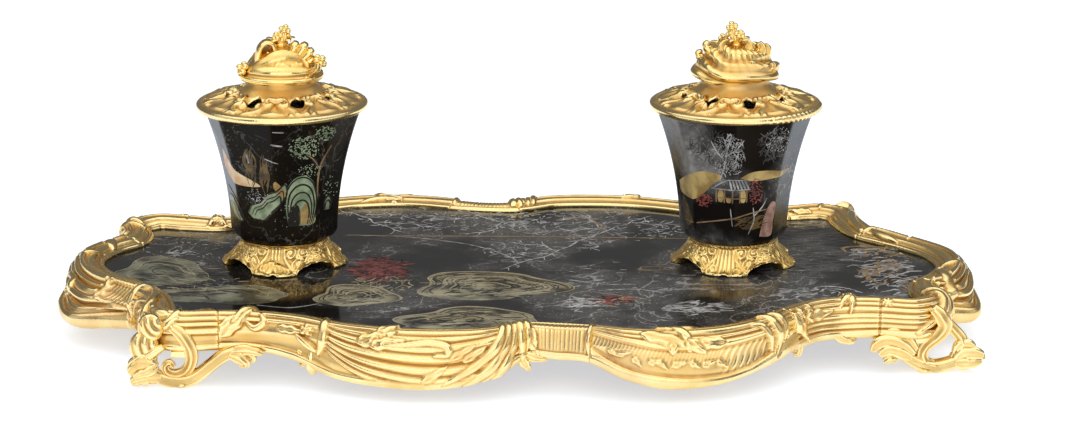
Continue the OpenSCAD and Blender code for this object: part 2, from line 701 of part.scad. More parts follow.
at_pot(sand_x) translate([0, 0, neck_top]) rotate([0, 0, sand_cap_turn]) cap_body();  // sand_cap
at_pot(sand_x) translate([0, 0, cap_top]) rotate([0, 0, sand_finial_turn]) finial_body();  // sand_finial
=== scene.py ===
# %% [markdown]
# Inkstand: a lacquered tray in a gilt rim, with an ink pot and a sand pot.
# The CAD part gives every place and size. This lesson gives it the looks of the real thing:
# cast and chased gilding, black lacquer with painted scenes, and plain studio light.
# All tables below are in millimetres, as on a drawing, and are turned to metres when they are laid.

# %% Load the frame
import math

import bpy
import numpy as np
from mathutils import Matrix, Vector


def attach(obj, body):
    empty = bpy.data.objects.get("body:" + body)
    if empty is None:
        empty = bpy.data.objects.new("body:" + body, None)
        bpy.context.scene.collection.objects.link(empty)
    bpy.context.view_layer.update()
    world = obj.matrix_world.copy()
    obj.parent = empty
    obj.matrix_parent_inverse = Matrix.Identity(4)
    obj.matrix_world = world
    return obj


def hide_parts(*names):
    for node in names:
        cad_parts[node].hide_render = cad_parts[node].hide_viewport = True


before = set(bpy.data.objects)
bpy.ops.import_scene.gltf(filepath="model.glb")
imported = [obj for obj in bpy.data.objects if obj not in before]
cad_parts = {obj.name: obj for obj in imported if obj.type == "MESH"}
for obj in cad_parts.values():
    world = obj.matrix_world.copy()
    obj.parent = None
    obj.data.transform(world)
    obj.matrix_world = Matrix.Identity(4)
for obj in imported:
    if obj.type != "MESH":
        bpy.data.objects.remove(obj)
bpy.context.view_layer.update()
scene = bpy.context.scene
MM = 0.001

# %% [markdown]
# A few small tools do most of the modelling. A grid primitive is laid on a table of points,
# like a sheet of wax pressed over a pattern, and its open ends are closed in edit mode.
# A casting that repeats is copied with a mesh of its own and turned about the middle of the tray.
# The recess mark says how hollow each spot is: the gilding is painted darker in the hollows, a painted
# shade, and lighter on the ridges, a painted highlight.


# %% Modelling tools
def start():
    """Object mode, with nothing selected."""
    if bpy.context.object and bpy.context.object.mode != "OBJECT":
        bpy.ops.object.mode_set(mode="OBJECT")
    bpy.ops.object.select_all(action="DESELECT")


MERGE = 1e-6


def skin(name, table):
    """A grid primitive laid on a table of points: rows, columns, x y z. Its open ends are filled."""
    rows, columns = table.shape[:2]
    start()
    bpy.ops.mesh.primitive_grid_add(x_subdivisions=columns - 1, y_subdivisions=rows - 1, size=1)
    piece = bpy.context.object
    piece.name = piece.data.name = name
    piece.data.vertices.foreach_set("co", (table * MM).astype(np.float32).ravel())
    bpy.ops.object.mode_set(mode="EDIT")
    bpy.ops.mesh.select_all(action="SELECT")
    bpy.ops.mesh.remove_doubles(threshold=MERGE)
    bpy.ops.mesh.fill_holes(sides=0)
    bpy.ops.mesh.normals_make_consistent(inside=False)
    bpy.ops.object.mode_set(mode="OBJECT")
    bpy.ops.object.shade_smooth()
    return piece


def joined(name, pieces):
    """Several pieces made into one object."""
    start()
    for piece in pieces:
        piece.select_set(True)
    bpy.context.view_layer.objects.active = pieces[0]
    bpy.ops.object.join()
    pieces[0].name = pieces[0].data.name = name
    return pieces[0]


def copied(piece, name, matrix):
    """A copy with a mesh of its own, moved in its mesh."""
    other = piece.copy()
    other.data = piece.data.copy()
    other.name = other.data.name = name
    other.data.transform(matrix)
    scene.collection.objects.link(other)
    return other


HALF_TURN = Matrix.Rotation(math.pi, 4, "Z")
# Square of the shortest edge that counts, the sharpest bend, the share that a point keeps, the gain
SHORTEST, SHARPEST, KEPT, GAIN = 0.02, 1.5, 0.4, 1.6
FLAT = 0.5


def shade_by_recess(piece, rounds=3):
    """Point attribute recess: 0.5 where the face is flat, 1 in hollows, 0 on ridges.

    Rounds says how many times each point is evened out with its neighbours.
    """
    mesh = piece.data
    points, lines = len(mesh.vertices), len(mesh.edges)
    place, normal = np.zeros(points * 3), np.zeros(points * 3)
    mesh.vertices.foreach_get("co", place)
    mesh.vertices.foreach_get("normal", normal)
    place, normal = place.reshape(-1, 3) / MM, normal.reshape(-1, 3)
    ends = np.zeros(lines * 2, int)
    mesh.edges.foreach_get("vertices", ends)
    a, b = ends.reshape(-1, 2).T
    step = place[b] - place[a]
    length = np.maximum((step**2).sum(1), SHORTEST)
    many = np.maximum(np.bincount(a, minlength=points) + np.bincount(b, minlength=points), 1)
    up_a, up_b = (step * normal[a]).sum(1) / length, -(step * normal[b]).sum(1) / length
    bend = (np.bincount(a, up_a, points) + np.bincount(b, up_b, points)) / many
    bend = np.clip(bend, -SHARPEST, SHARPEST)
    for _ in range(rounds):
        near = np.bincount(a, bend[b], points) + np.bincount(b, bend[a], points)
        bend = KEPT * bend + (1 - KEPT) * near / many
    # Recess sets the gilding's painted shade in the hollows and painted highlight on the ridges, and its
    # roughness.
    mark = mesh.attributes.get("recess") or mesh.attributes.new("recess", "FLOAT", "POINT")
    mark.data.foreach_set("value", np.clip(FLAT + GAIN * bend, 0, 1).astype(np.float32))


def place(piece, material, slot, body="stand", nodes=()):
    """Material, body and the CAD nodes that the piece stands for; slot is not used."""
    piece.data.materials.clear()
    piece.data.materials.append(material)
    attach(piece, body)
    if nodes:
        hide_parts(*nodes)


print("modelling tools ready, recess of a flat face:", FLAT)

# %% [markdown]
# The finishes are built from nodes. A picture of gold or lacquer could be wrapped on instead, but noise
# in the object's own coordinates never stretches or repeats. What two materials share, such as the tones
# of the gilding, is a node group, and the shader itself stays in the material.


# %% Material tools
def feed(tree, socket, value):
    """Links a socket to another one, or sets it to a number or a colour."""
    if isinstance(value, bpy.types.NodeSocket):
        tree.links.new(value, socket)
    else:
        socket.default_value = value


def new_group(name, inputs, outputs):
    """An empty node group with its sockets, and the nodes at its two ends."""
    group = bpy.data.node_groups.new(name, "ShaderNodeTree")
    for title, kind, value in inputs:
        socket = group.interface.new_socket(name=title, in_out="INPUT", socket_type="NodeSocket" + kind)
        if value is not None:
            socket.default_value = value
    for title, kind in outputs:
        group.interface.new_socket(name=title, in_out="OUTPUT", socket_type="NodeSocket" + kind)
    return group, group.nodes.new("NodeGroupInput"), group.nodes.new("NodeGroupOutput")


def add(tree, kind, inputs=None, **settings):
    """A node, with its settings, and with its inputs set to values or linked to sockets."""
    node = tree.nodes.new("ShaderNode" + kind)
    for key, value in settings.items():
        setattr(node, key, value)
    for key, value in (inputs or {}).items():
        feed(tree, node.inputs[key], value)
    return node


def ranged(tree, value, a, b, low=0.0, high=1.0):
    """A value that goes smoothly from low to high while the given one goes from a to b."""
    limits = {"From Min": a, "From Max": b, "To Min": low, "To Max": high}
    node = add(tree, "MapRange", {"Value": value, **limits}, interpolation_type="SMOOTHSTEP")
    return node.outputs["Result"]


# Places of the colour sockets on a Mix node
MIX_SHARE, MIX_FIRST, MIX_SECOND, MIX_RESULT = 0, 6, 7, 2


def blend(tree, share, first, second):
    """The first colour where share is 0 and the second where it is 1."""
    node = add(tree, "Mix", data_type="RGBA")
    for socket, value in ((MIX_SHARE, share), (MIX_FIRST, first), (MIX_SECOND, second)):
        feed(tree, node.inputs[socket], value)
    return node.outputs[MIX_RESULT]


def noise(tree, vector, scale, detail=3.0):
    """Soft noise from 0 to 1; scale is about how many patches lie on a metre."""
    return add(tree, "TexNoise", {"Vector": vector, "Scale": scale, "Detail": detail}).outputs["Fac"]


def maths(tree, kind, a, b=0.0):
    """One sum on two values."""
    node = tree.nodes.new("ShaderNodeMath")
    node.operation = kind
    for socket, value in zip(node.inputs, (a, b)):
        feed(tree, socket, value)
    return node.outputs[0]


def new_material(name):
    """A material with its node tree and its shader."""
    material = bpy.data.materials.new(name)
    material.use_nodes = True
    tree = material.node_tree
    return material, tree, tree.nodes["Principled BSDF"]


def object_vector(tree):
    """Place on the object, in metres."""
    return add(tree, "TexCoord").outputs["Object"]


def use_group(tree, group, **inputs):
    """A group placed in a material, with its own values."""
    node = tree.nodes.new("ShaderNodeGroup")
    node.node_tree = group
    for key, value in inputs.items():
        feed(tree, node.inputs[key], value)
    return node


def finished(tree, shader, finish, roughness, strength, distance):
    """Colour, roughness and relief of a finish, led to the shader."""
    bump = add(tree, "Bump", {"Height": finish.outputs["Height"], "Strength": strength,
                              "Distance": distance})
    tree.links.new(finish.outputs["Color"], shader.inputs["Base Color"])
    tree.links.new(roughness, shader.inputs["Roughness"])
    tree.links.new(bump.outputs["Normal"], shader.inputs["Normal"])


print("material tools ready, groups so far:", len(bpy.data.node_groups))

# %% [markdown]
# Fire gilding leaves a thin skin of gold on the bronze. The gilder burnishes the ridges and leaves the
# flats matt, so the roughness follows the recess mark. The colour follows it too: the ridges are painted
# lighter, a painted highlight, and the hollows dark brown, a painted shade. Soft patches keep it from
# looking machine made, and a few rubbed places show the bronze beginning to come through. The caps and the
# base mounts are a little warmer in tone than the rim.

# %% Gilding
PATCH_SCALE, GRAIN_SCALE, RUBBED_SCALE = 70, 1500, 24
RUBBED_TONE = (0.62, 0.44, 0.27, 1)
gilt_group, g_in, g_out = new_group(
    "gilt_tones",
    [("Vector", "Vector", None), ("Recess", "Float", 0.5), ("Bright", "Color", (0.98, 0.77, 0.37, 1)),
     ("Middle", "Color", (0.86, 0.58, 0.21, 1)), ("Dark", "Color", (0.48, 0.26, 0.08, 1))],
    [("Color", "Color"), ("Roughness", "Float"), ("Height", "Float")])
patch = noise(gilt_group, g_in.outputs["Vector"], PATCH_SCALE, 4)
grain = noise(gilt_group, g_in.outputs["Vector"], GRAIN_SCALE, 2)
hollow = maths(gilt_group, "ADD", g_in.outputs["Recess"],
               maths(gilt_group, "MULTIPLY", maths(gilt_group, "SUBTRACT", patch, 0.5), 0.5))
# Painted highlight and painted shade: the ridges take the Bright tone and the hollows the Dark tone.
tone = blend(gilt_group, ranged(gilt_group, hollow, 0.28, 0.5), g_in.outputs["Bright"],
             g_in.outputs["Middle"])
tone = blend(gilt_group, ranged(gilt_group, hollow, 0.52, 0.92), tone, g_in.outputs["Dark"])
rubbed = noise(gilt_group, g_in.outputs["Vector"], RUBBED_SCALE, 5)
tone = blend(gilt_group, ranged(gilt_group, rubbed, 0.56, 0.72, 0.0, 0.35), tone, RUBBED_TONE)
gilt_group.links.new(tone, g_out.inputs["Color"])
gilt_group.links.new(ranged(gilt_group, hollow, 0.25, 0.66, 0.17, 0.44), g_out.inputs["Roughness"])
gilt_group.links.new(maths(gilt_group, "ADD", grain, patch), g_out.inputs["Height"])


def gilding(name, **tones):
    """Gilding with its own tones for ridges, flats and hollows: a painted highlight on the ridges and a
    painted shade in the hollows.
    """
    material, tree, shader = new_material(name)
    mark = add(tree, "Attribute", attribute_name="recess")
    finish = use_group(tree, gilt_group, Vector=object_vector(tree), Recess=mark.outputs["Fac"], **tones)
    finished(tree, shader, finish, finish.outputs["Roughness"], 0.12, 0.0004)
    shader.inputs["Metallic"].default_value = 1
    return material


gilt = gilding("gilt_chased")
gilt_warm = gilding("gilt_warm", Bright=(0.98, 0.75, 0.31, 1), Middle=(0.87, 0.57, 0.17, 1))
print("gilding:", gilt.name, gilt_warm.name)

# %% [markdown]
# Black lacquer is many thin coats of varnish, rubbed flat. Age gives it dull clouds, fine pale wisps and
# specks in worn patches. The clouds are a noise, and a wisp is where a second, swirled noise crosses its
# middle level. The clouds thin towards the tray's left end, a painted shade that keeps that end darker, and
# they are thickest at the sand pot's left.

# %% Lacquer
WORN_SCALE, SPECK_SCALE, CLOUD_SCALE, DEPTH_SCALE, RELIEF_SCALE = 26, 700, 180, 20, 60
LACQUER_TONES = (0.003, 0.003, 0.003, 1), (0.012, 0.009, 0.007, 1)
WISP_TONE = (0.42, 0.41, 0.39, 1)
WISP_WIDTH = 0.014
DULLED = 0.14
coats, l_in, l_out = new_group(
    "lacquer_wear",
    [("Vector", "Vector", None), ("Wisps", "Float", 40.0), ("Wear", "Float", 0.5),
     ("Haze", "Color", (0.05, 0.05, 0.05, 1)), ("Reach", "Float", 1.0)],
    [("Color", "Color"), ("Worn", "Float"), ("Height", "Float")])
vector = l_in.outputs["Vector"]
worn = ranged(coats, noise(coats, vector, WORN_SCALE, 5), 0.4, 0.64)
swirl = add(coats, "TexNoise",
            {"Vector": vector, "Scale": l_in.outputs["Wisps"], "Detail": 5.0, "Distortion": 0.8})
level = maths(coats, "ABSOLUTE", maths(coats, "SUBTRACT", swirl.outputs["Fac"], 0.5))
wisps = ranged(coats, level, 0.0, WISP_WIDTH, 1.0, 0.0)
specks = ranged(coats, noise(coats, vector, SPECK_SCALE, 3), 0.6, 0.72)
wear = maths(coats, "MULTIPLY", worn, l_in.outputs["Wear"])
lines = maths(coats, "MULTIPLY", maths(coats, "MAXIMUM", wisps, specks), wear)
tint = blend(coats, noise(coats, vector, DEPTH_SCALE, 2), *LACQUER_TONES)
clouds = maths(coats, "MULTIPLY", worn, noise(coats, vector, CLOUD_SCALE, 4))
clouds = maths(coats, "MULTIPLY", clouds, l_in.outputs["Reach"])
tint = blend(coats, clouds, tint, l_in.outputs["Haze"])
tint = blend(coats, lines, tint, WISP_TONE)
relief = maths(coats, "ADD", lines, noise(coats, vector, RELIEF_SCALE, 3))
for socket, value in (("Color", tint), ("Worn", worn), ("Height", relief)):
    coats.links.new(value, l_out.inputs[socket])


def lacquering(name, wisps, wear, haze, polish, shine, haze_ramp):
    """Black lacquer; the last value gives the x in metres where the haze clouds are least and where they
    are full, which on the tray is a painted shade.
    """
    material, tree, shader = new_material(name)
    spot = object_vector(tree)
    across = add(tree, "SeparateXYZ", {"Vector": spot}).outputs["X"]
    finish = use_group(tree, coats, Vector=spot, Wisps=wisps, Wear=wear, Haze=(*haze, 1),
                       Reach=ranged(tree, across, *haze_ramp, 0.35, 1.1))
    roughness = ranged(tree, finish.outputs["Worn"], 0, 1, polish, polish + DULLED)
    finished(tree, shader, finish, roughness, 0.1, 0.0005)
    shader.inputs["Specular IOR Level"].default_value = shine
    return material


# The tray's haze clouds thin towards its left end: a painted shade that keeps that end darker.
tray_lacquer = lacquering("lacquer_tray", 34.0, 0.9, (0.15, 0.143, 0.13), 0.08, 0.42, (-0.17, 0.02))
ink_lacquer = lacquering("lacquer_ink_pot", 60.0, 0.3, (0.018, 0.012, 0.004), 0.15, 0.1, (-0.14, -0.1))
sand_lacquer = lacquering("lacquer_sand_pot", 70.0, 0.9, (0.5, 0.49, 0.47), 0.2, 0.13, (0.125, 0.08))
print("lacquers:", tray_lacquer.name, ink_lacquer.name, sand_lacquer.name)

# %% [markdown]
# The rest is plain. A paint or a filed metal is two tones in soft patches. Oak is a noise stretched along
# the board, so that it runs in grain, and the glass of the liners is faintly green.


# %% Paints, wood, steel and glass
def painted(name, first, second, scale=400.0, rough=0.4, metal=0.0):
    """A paint of two tones that lie in patches."""
    material, tree, shader = new_material(name)
    vector = object_vector(tree)
    share = ranged(tree, noise(tree, vector, scale, 4), 0.35, 0.65)
    tree.links.new(blend(tree, share, (*first, 1), (*second, 1)), shader.inputs["Base Color"])
    tree.links.new(ranged(tree, share, 0, 1, rough, 0.7 * rough), shader.inputs["Roughness"])
    shader.inputs["Metallic"].default_value = metal
    return material


steel = painted("steel_filed", (0.3, 0.3, 0.3), (0.45, 0.44, 0.42), 900.0, 0.45, 1.0)
oak, tree, shader = new_material("oak_underside")
grain = add(tree, "Mapping", {"Vector": object_vector(tree), "Scale": (4, 60, 60)}).outputs["Vector"]
share = ranged(tree, noise(tree, grain, 6, 6), 0.35, 0.7)
tree.links.new(blend(tree, share, (0.1, 0.055, 0.025, 1), (0.24, 0.14, 0.065, 1)),
               shader.inputs["Base Color"])
shader.inputs["Roughness"].default_value = 0.7
glass, tree, shader = new_material("glass_liner")
share = noise(tree, object_vector(tree), 60, 2)
tree.links.new(blend(tree, share, (0.72, 0.84, 0.8, 1), (0.86, 0.93, 0.9, 1)), shader.inputs["Base Color"])
shader.inputs["Roughness"].default_value = 0.06
shader.inputs["Transmission Weight"].default_value = 0.9
print("materials:", len(bpy.data.materials))

# %% [markdown]
# The camera stands in front of the tray and looks down on it by about fourteen degrees, from far
# enough away that the sides hardly converge. The floor is plain white card with a glow of its own,
# as on a light table. Soft boxes hang overhead, in front and at both sides, and the room stays dim, so the
# lacquer keeps black and the gold gets contrast.

# %% Camera, floor and light
CAMERA_PLACE = (0, -1.3572, 0.4034)
CAMERA_TILT = 75.8
LENS = 107.17
SHIFT = (0.01944, -0.02565)
SENSOR = 36
FLOOR_SIZE, FLOOR_GLOW, ROOM_GLOW = 12, 0.53, 0.17
# Place, target, width, depth and brightness of each soft box, in metres
SOFT_BOXES = {"overhead": ((0, 0, 1.7), (0, 0, 0), 4.2, 2.2, 1.18),
              "front": ((0, -2.6, 0.85), (0, 0, 0), 3.4, 1.6, 1.05),
              "front_top": ((0, -2.0, 1.75), (0, 0, 0), 3.0, 1.2, 1.04),
              "left": ((-2.2, -0.5, 0.8), (0, 0, 0.05), 1.8, 1.1, 0.55),
              "right": ((2.2, -0.5, 0.8), (0, 0, 0.05), 1.8, 1.1, 0.5)}
bpy.ops.object.camera_add(location=CAMERA_PLACE, rotation=(math.radians(CAMERA_TILT), 0, 0))
camera = bpy.context.object
camera.name = "camera"
camera.data.sensor_width = SENSOR
camera.data.lens = LENS
camera.data.shift_x, camera.data.shift_y = SHIFT
camera.data.dof.use_dof = False
scene.camera = camera
scene.view_settings.view_transform = "Standard"

start()
bpy.ops.mesh.primitive_plane_add(size=FLOOR_SIZE)
floor = bpy.context.object
floor.name = "floor"
card, tree, shader = new_material("floor_card")
share = noise(tree, object_vector(tree), 3.0, 2)
tree.links.new(blend(tree, share, (0.74, 0.8, 0.88, 1), (0.77, 0.83, 0.91, 1)), shader.inputs["Base Color"])
shader.inputs["Roughness"].default_value = 0.9
shader.inputs["Emission Color"].default_value = (0.96, 1, 1.06, 1)
shader.inputs["Emission Strength"].default_value = FLOOR_GLOW
floor.data.materials.append(card)


def soft_box(name, spot, target, width, depth, glow):
    """An area light that faces the target; glow is how bright its face looks."""
    turn = (Vector(target) - Vector(spot)).to_track_quat("-Z", "Y").to_euler()
    bpy.ops.object.light_add(type="AREA", location=spot, rotation=turn)
    light = bpy.context.object
    light.name = name
    light.data.shape = "RECTANGLE"
    light.data.size, light.data.size_y = width, depth
    light.data.energy = glow * math.pi * width * depth


for name, box in SOFT_BOXES.items():
    soft_box(name, *box)
world = bpy.data.worlds.new("room")
scene.world = world
world.use_nodes = True
room = world.node_tree.nodes["Background"]
room.inputs["Color"].default_value = (1, 1, 1, 1)
room.inputs["Strength"].default_value = ROOM_GLOW
print("camera, floor and", len(bpy.data.lights), "lights")

# %% [markdown]
# The rim. One serpentine line, the crest, runs round the tray, and half a turn carries it onto itself.
# At each place the casting has its own height, bulge and skirt. The founder carved a wax for each of
# six lengths and cast each twice, so the second six are turned copies. Here the face of a casting is
# a table: S runs along the crest and Y down the face, both in millimetres, and the chaser's reeds,
# leaves, flowers and ribs are heights on that face.

# %% The crest line and its sections
# Rows of x, y, rise of the crest over the panel, bulge of the face and drop of the skirt under the board
HALF_CREST = np.array([
    [2, -101, 3.5, 4, 2], [16, -102, 3, 4, 2], [30, -105, 3.5, 4.5, 2.5],
    [44, -109.5, 3.5, 5.5, 8], [60, -111, 3.5, 6, 11.5], [80, -107, 3.5, 6, 10.5], [98, -97, 4, 5.5, 6.5],
    [111, -83, 4.5, 5, 4], [123, -71, 4.5, 5, 3.5], [137, -66, 4.5, 5.5, 3.5], [152, -68, 5, 6, 2.2],
    [166, -70, 5, 6, 2.2], [176, -60, 5, 6, 2.2], [174, -46, 4.5, 6, 4],
    [176, -35, 4, 8, 6], [184, -24, 4, 15, 7.5], [190, -10, 4, 8.5, 6], [190, 4, 4, 7.5, 5.5],
    [186, 16, 4, 14, 7], [178, 28, 4, 17.5, 8], [168, 39, 4, 10, 6.5],
    [159, 49, 4, 6, 5], [155, 58, 4.5, 6, 5], [152, 70, 5, 6, 4], [149, 82, 5, 6, 2.2],
    [139, 88, 5, 6, 2.2], [124, 86, 4.5, 5.5, 2.2],
    [107, 86, 4, 5, 3], [90, 92, 4, 5.5, 5], [72, 102, 3.5, 6, 10], [52, 109, 3.5, 6, 11.5],
    [32, 111, 3.5, 6, 11.5], [13, 109, 3.5, 5.5, 8]])
CREST = np.vstack([HALF_CREST, HALF_CREST * [-1, -1, 1, 1, 1]])
HALF = len(HALF_CREST)
JOINTS = [0, 2, 7, 14, 21, 26, HALF]
CHORD = 0.8
PANEL_TOP, BOARD_LOW = 26.0, 17.5
LIP, REBATE, WALL = 9.0, 3.0, 3.0
REED_ROWS = [[0.35, 0, 0.22], [0.7, 0, 0.38], [0.6, 0, 0.55], [0.5, 0.5, 0.78], [0.3, 0.45, 1]]
SKIRT_ROWS = [[0.25, 0.5, 0.35], [0, 1, 0.55], [0, 0.7, 1]]


def circle(many):
    """Angles once round, with the first one again at the end."""
    return np.linspace(0, 2 * math.pi, many)


def unit(way):
    """Directions of length 1."""
    return way / np.maximum(np.linalg.norm(way, axis=-1, keepdims=True), 1e-9)


def ease(x, a, b):
    """From 0 at a to 1 at b, smoothly."""
    t = np.clip((x - a) / (b - a), 0, 1)
    return t * t * (3 - 2 * t)


def smooth_between(a, b, c, d, t):
    """A curve from b to c that also heeds a and d."""
    return 0.5 * (2 * b + (c - a) * t + (2 * a - 5 * b + 4 * c - d) * t**2 + (3 * b - a - 3 * c + d) * t**3)


def crest(t):
    """Rows of the crest at any places t, counted in rows of the table."""
    first = np.floor(t).astype(int)
    rows = [CREST[(first + k) % len(CREST)] for k in (-1, 0, 1, 2)]
    return smooth_between(*rows, (t - first)[..., None])


def outward(t):
    """Directions out of the tray, square to the crest."""
    way = unit((crest(t + CHORD) - crest(t - CHORD))[..., :2])
    return np.stack([way[..., 1], -way[..., 0]], -1)


def section(row):
    """Points of the face as distance out and height, and points of the hidden back."""
    rise, bulge, skirt = row[..., 2], row[..., 3], row[..., 4]
    near, top, low = np.minimum(bulge, 6), PANEL_TOP + rise, BOARD_LOW - skirt
    band = np.minimum(9, 0.62 * (top - low))
    rest, one = top - low - band, np.ones_like(bulge)
    face = [(-LIP * one, (PANEL_TOP + 0.8) * one), (-7.6 * one, (PANEL_TOP + 1.9) * one),
            (-6.2 * one, (PANEL_TOP + 1.33) * one), (-3.6 * one, PANEL_TOP + 0.8 * rise), (-0.8 * one, top),
            (one, top - 0.3)]
    face += [(r[0] * near + r[1] * bulge, top - r[2] * band) for r in REED_ROWS]
    face += [(r[0] * near + r[1] * bulge, top - band - r[2] * rest) for r in SKIRT_ROWS]
    back = [(np.maximum(-REBATE, 0.7 * bulge - WALL), low),
            (np.maximum(-REBATE, 0.6 * bulge - WALL), BOARD_LOW - 0.5 * skirt - 0.125),
            (-REBATE * one, 17 * one), (-REBATE * one, PANEL_TOP * one), (-LIP * one, PANEL_TOP * one)]
    return [np.stack([np.stack(p, -1) for p in points], -2) for points in (face, back)]


CREST_POINT = 4
RUN_STEPS = 1200
FINE = 12
CALM = 2.6


def calmed(face, down, pitch):
    """The face with its small waves taken out, and its two edges kept."""
    many = int(3 * CALM / pitch)
    weight = np.exp(-0.5 * (np.arange(-many, many + 1) * pitch / CALM) ** 2)
    weight /= weight.sum()
    padded = np.pad(face, ((0, 0), (many, many), (0, 0)), mode="edge")
    soft = sum(w * padded[:, k:k + face.shape[1]] for k, w in enumerate(weight))
    share = ease(down, -6, 0) * ease(down[:, -1:] - down, 0, 6)
    return face + share[..., None] * (soft - face)


def face_table(first, last, pitch):
    """Points on the smooth face between two crest rows, with S, Y, the face's length and the normals."""
    t = np.linspace(first, last, RUN_STEPS)
    run = np.linalg.norm(np.diff(crest(t)[:, :2], axis=0), axis=1)
    run = np.concatenate([[0], np.cumsum(run)])
    many = max(12, int(run[-1] / pitch))
    t = np.interp(np.linspace(0, run[-1], many), run, t)
    row = crest(t)
    face, back = section(row)
    count = face.shape[1]
    w = np.linspace(0, count - 1, (count - 1) * FINE + 1)
    i = np.minimum(np.floor(w).astype(int), count - 2)
    four = [face[:, np.clip(i + k, 0, count - 1)] for k in (-1, 0, 1, 2)]
    curve = smooth_between(*four, (w - i)[None, :, None])
    length = np.linalg.norm(np.diff(curve, axis=1), axis=-1)
    length = np.concatenate([np.zeros((many, 1)), np.cumsum(length, 1)], 1)
    rows = int(length[:, -1].max() / pitch) + 1
    share = np.linspace(0, 1, rows)
    even, down = np.zeros((many, rows, 2)), np.zeros((many, rows))
    for k in range(many):
        want = share * length[k, -1]
        even[k] = np.stack([np.interp(want, length[k], curve[k, :, j]) for j in (0, 1)], -1)
        down[k] = want - length[k, CREST_POINT * FINE]
    even = calmed(even, down, pitch)
    along = np.linspace(0, run[-1], many)[:, None] + 0 * down
    tangent = unit(np.gradient(even, axis=1))
    normal = np.stack([-tangent[..., 1], tangent[..., 0]], -1)
    return t, row, even, back, along, down, down[:, -1:] + 0 * down, normal


print("crest rows:", len(CREST))

# %% [markdown]
# The chaser's marks. After casting, a chaser sharpens the wax model's reeds and leaves with small punches.
# They could be bump in the material, but then the outline stays plain. Here each mark is a function that
# gives heights on a face, S along it and Y down it, so marks can be added, laid over each other and moved
# about like punches. A scroll that stands free is a tube along a drawn line.


# %% Chaser's marks
def window(x, a, b, soft=1.0):
    """1 between a and b and 0 outside, with soft edges."""
    return ease(x, a - soft / 2, a + soft / 2) * (1 - ease(x, b - soft / 2, b + soft / 2))


def bead(x, middle, wide, high):
    """A half round bead."""
    return high * np.sqrt(np.clip(1 - (2 * (x - middle) / wide) ** 2, 0, None))


def reeds(share, many, high):
    """Beads side by side where share goes from 0 to 1."""
    t = 2 * np.mod(share * many, 1) - 1
    return high * np.clip(1 - t * t, 0, None) ** 0.7 * ((share > 0) & (share < 1))


def leaf(s, y, at, angle, long, wide, high, lobes=4, curl=0.0):
    """A lobed leaf with a rib; curl bends its tip sideways."""
    a = math.radians(angle)
    ds, dy = s - at[0], y - at[1]
    p = (ds * math.cos(a) + dy * math.sin(a)) / long
    inside = (p > 0) & (p < 1)
    p = np.clip(p, 0, 1)
    q = -ds * math.sin(a) + dy * math.cos(a) - curl * p**2
    half = 0.5 * wide * np.sin(math.pi * p**0.65) * (0.93 + 0.09 * np.cos(2 * math.pi * (lobes * p + 0.5)))
    t = np.abs(q) / np.maximum(half, 0.05)
    body = np.clip(1 - t * t, 0, 1) ** 0.6 * (0.92 + 0.08 * np.cos(2 * math.pi * (lobes * p - 0.6 * t)))
    body -= 0.28 * np.exp(-((q / (0.1 * wide)) ** 2)) * np.clip(1 - t, 0, 1) * (1 - p)
    return high * np.clip(body, 0, None) * inside


def flower(s, y, at, wide, high, petals=5, turn=0.3):
    """An open flower with a round heart."""
    ds, dy = s - at[0], y - at[1]
    far, angle = np.hypot(ds, dy), np.arctan2(dy, ds) + turn
    wave = np.abs(np.cos(petals / 2 * angle))
    t = far / (0.5 * wide * (0.66 + 0.34 * wave))
    petal = np.sqrt(np.clip(1 - t * t, 0, 1)) * (0.5 + 0.4 * wave)
    return high * np.maximum(petal, bead(far, 0, 0.34 * wide, 1.0))


def volute(s, y, at, wide, high, turns=2.0, hand=1, begin=0.0):
    """A spiral bead that winds in to its eye."""
    ds, dy = s - at[0], y - at[1]
    far = np.hypot(ds, dy)
    angle = np.mod(hand * np.arctan2(dy, ds) - math.radians(begin), 2 * math.pi)
    out = bead(far, 0, 0.3 * wide, high)
    for k in range(int(turns) + 1):
        share = (angle + 2 * math.pi * k) / (2 * math.pi * turns)
        radius = 0.5 * wide * (1 - share) * (share < 1)
        out = np.maximum(out, bead(far - radius, 0, 0.42 * wide / turns, high) * (share < 1))
    return out


def curve_points(points, many=24):
    """Smooth points through a short list of points."""
    points = np.array(points, float)
    w = np.linspace(0, len(points) - 1, many)
    i = np.minimum(np.floor(w).astype(int), len(points) - 2)
    four = [points[np.clip(i + k, 0, len(points) - 1)] for k in (-1, 0, 1, 2)]
    return smooth_between(*four, (w - i)[:, None])


def ridge(s, y, points, wide, high, taper=0.3):
    """A round ridge along a curve, which thins to its ends."""
    length = np.linalg.norm(np.diff(np.array(points, float), axis=0), axis=1).sum()
    line = curve_points(points, int(np.clip(7 * length / wide, 24, 110)))
    share = np.linspace(0, 1, len(line))
    size = taper + (1 - taper) * np.sin(math.pi * share)
    out = np.zeros_like(s)
    for (a, b), k in zip(line, size):
        t = ((s - a) ** 2 + (y - b) ** 2) / (0.5 * wide * k) ** 2
        out = np.maximum(out, high * k * np.sqrt(np.clip(1 - t, 0, None)))
    return out


def reed_top(t):
    """Round section of a reed, with t from -1 to 1 across it."""
    arch = 0.6 * (0.5 + 0.5 * np.cos(math.pi * t)) + 0.4 * (1 - t * t)
    return np.clip(arch - 0.04 * (1 + np.cos(4 * math.pi * t)), 0, 1)


def flow(s, y, lines, high):
    """Reeds that swell and narrow between lines, each a list of S and Y from the left to the right."""
    edges = []
    for points in lines:
        line = curve_points(points, 60)
        edges.append(np.interp(s, line[:, 0], line[:, 1]))
    out = np.zeros_like(s)
    for upper, lower in zip(edges, edges[1:]):
        wide = np.maximum(lower - upper, 0.2)
        t = 2 * (y - upper) / wide - 1
        out = np.where(np.abs(t) < 1, high * np.minimum(1, wide / 4) * reed_top(t), out)
    return out


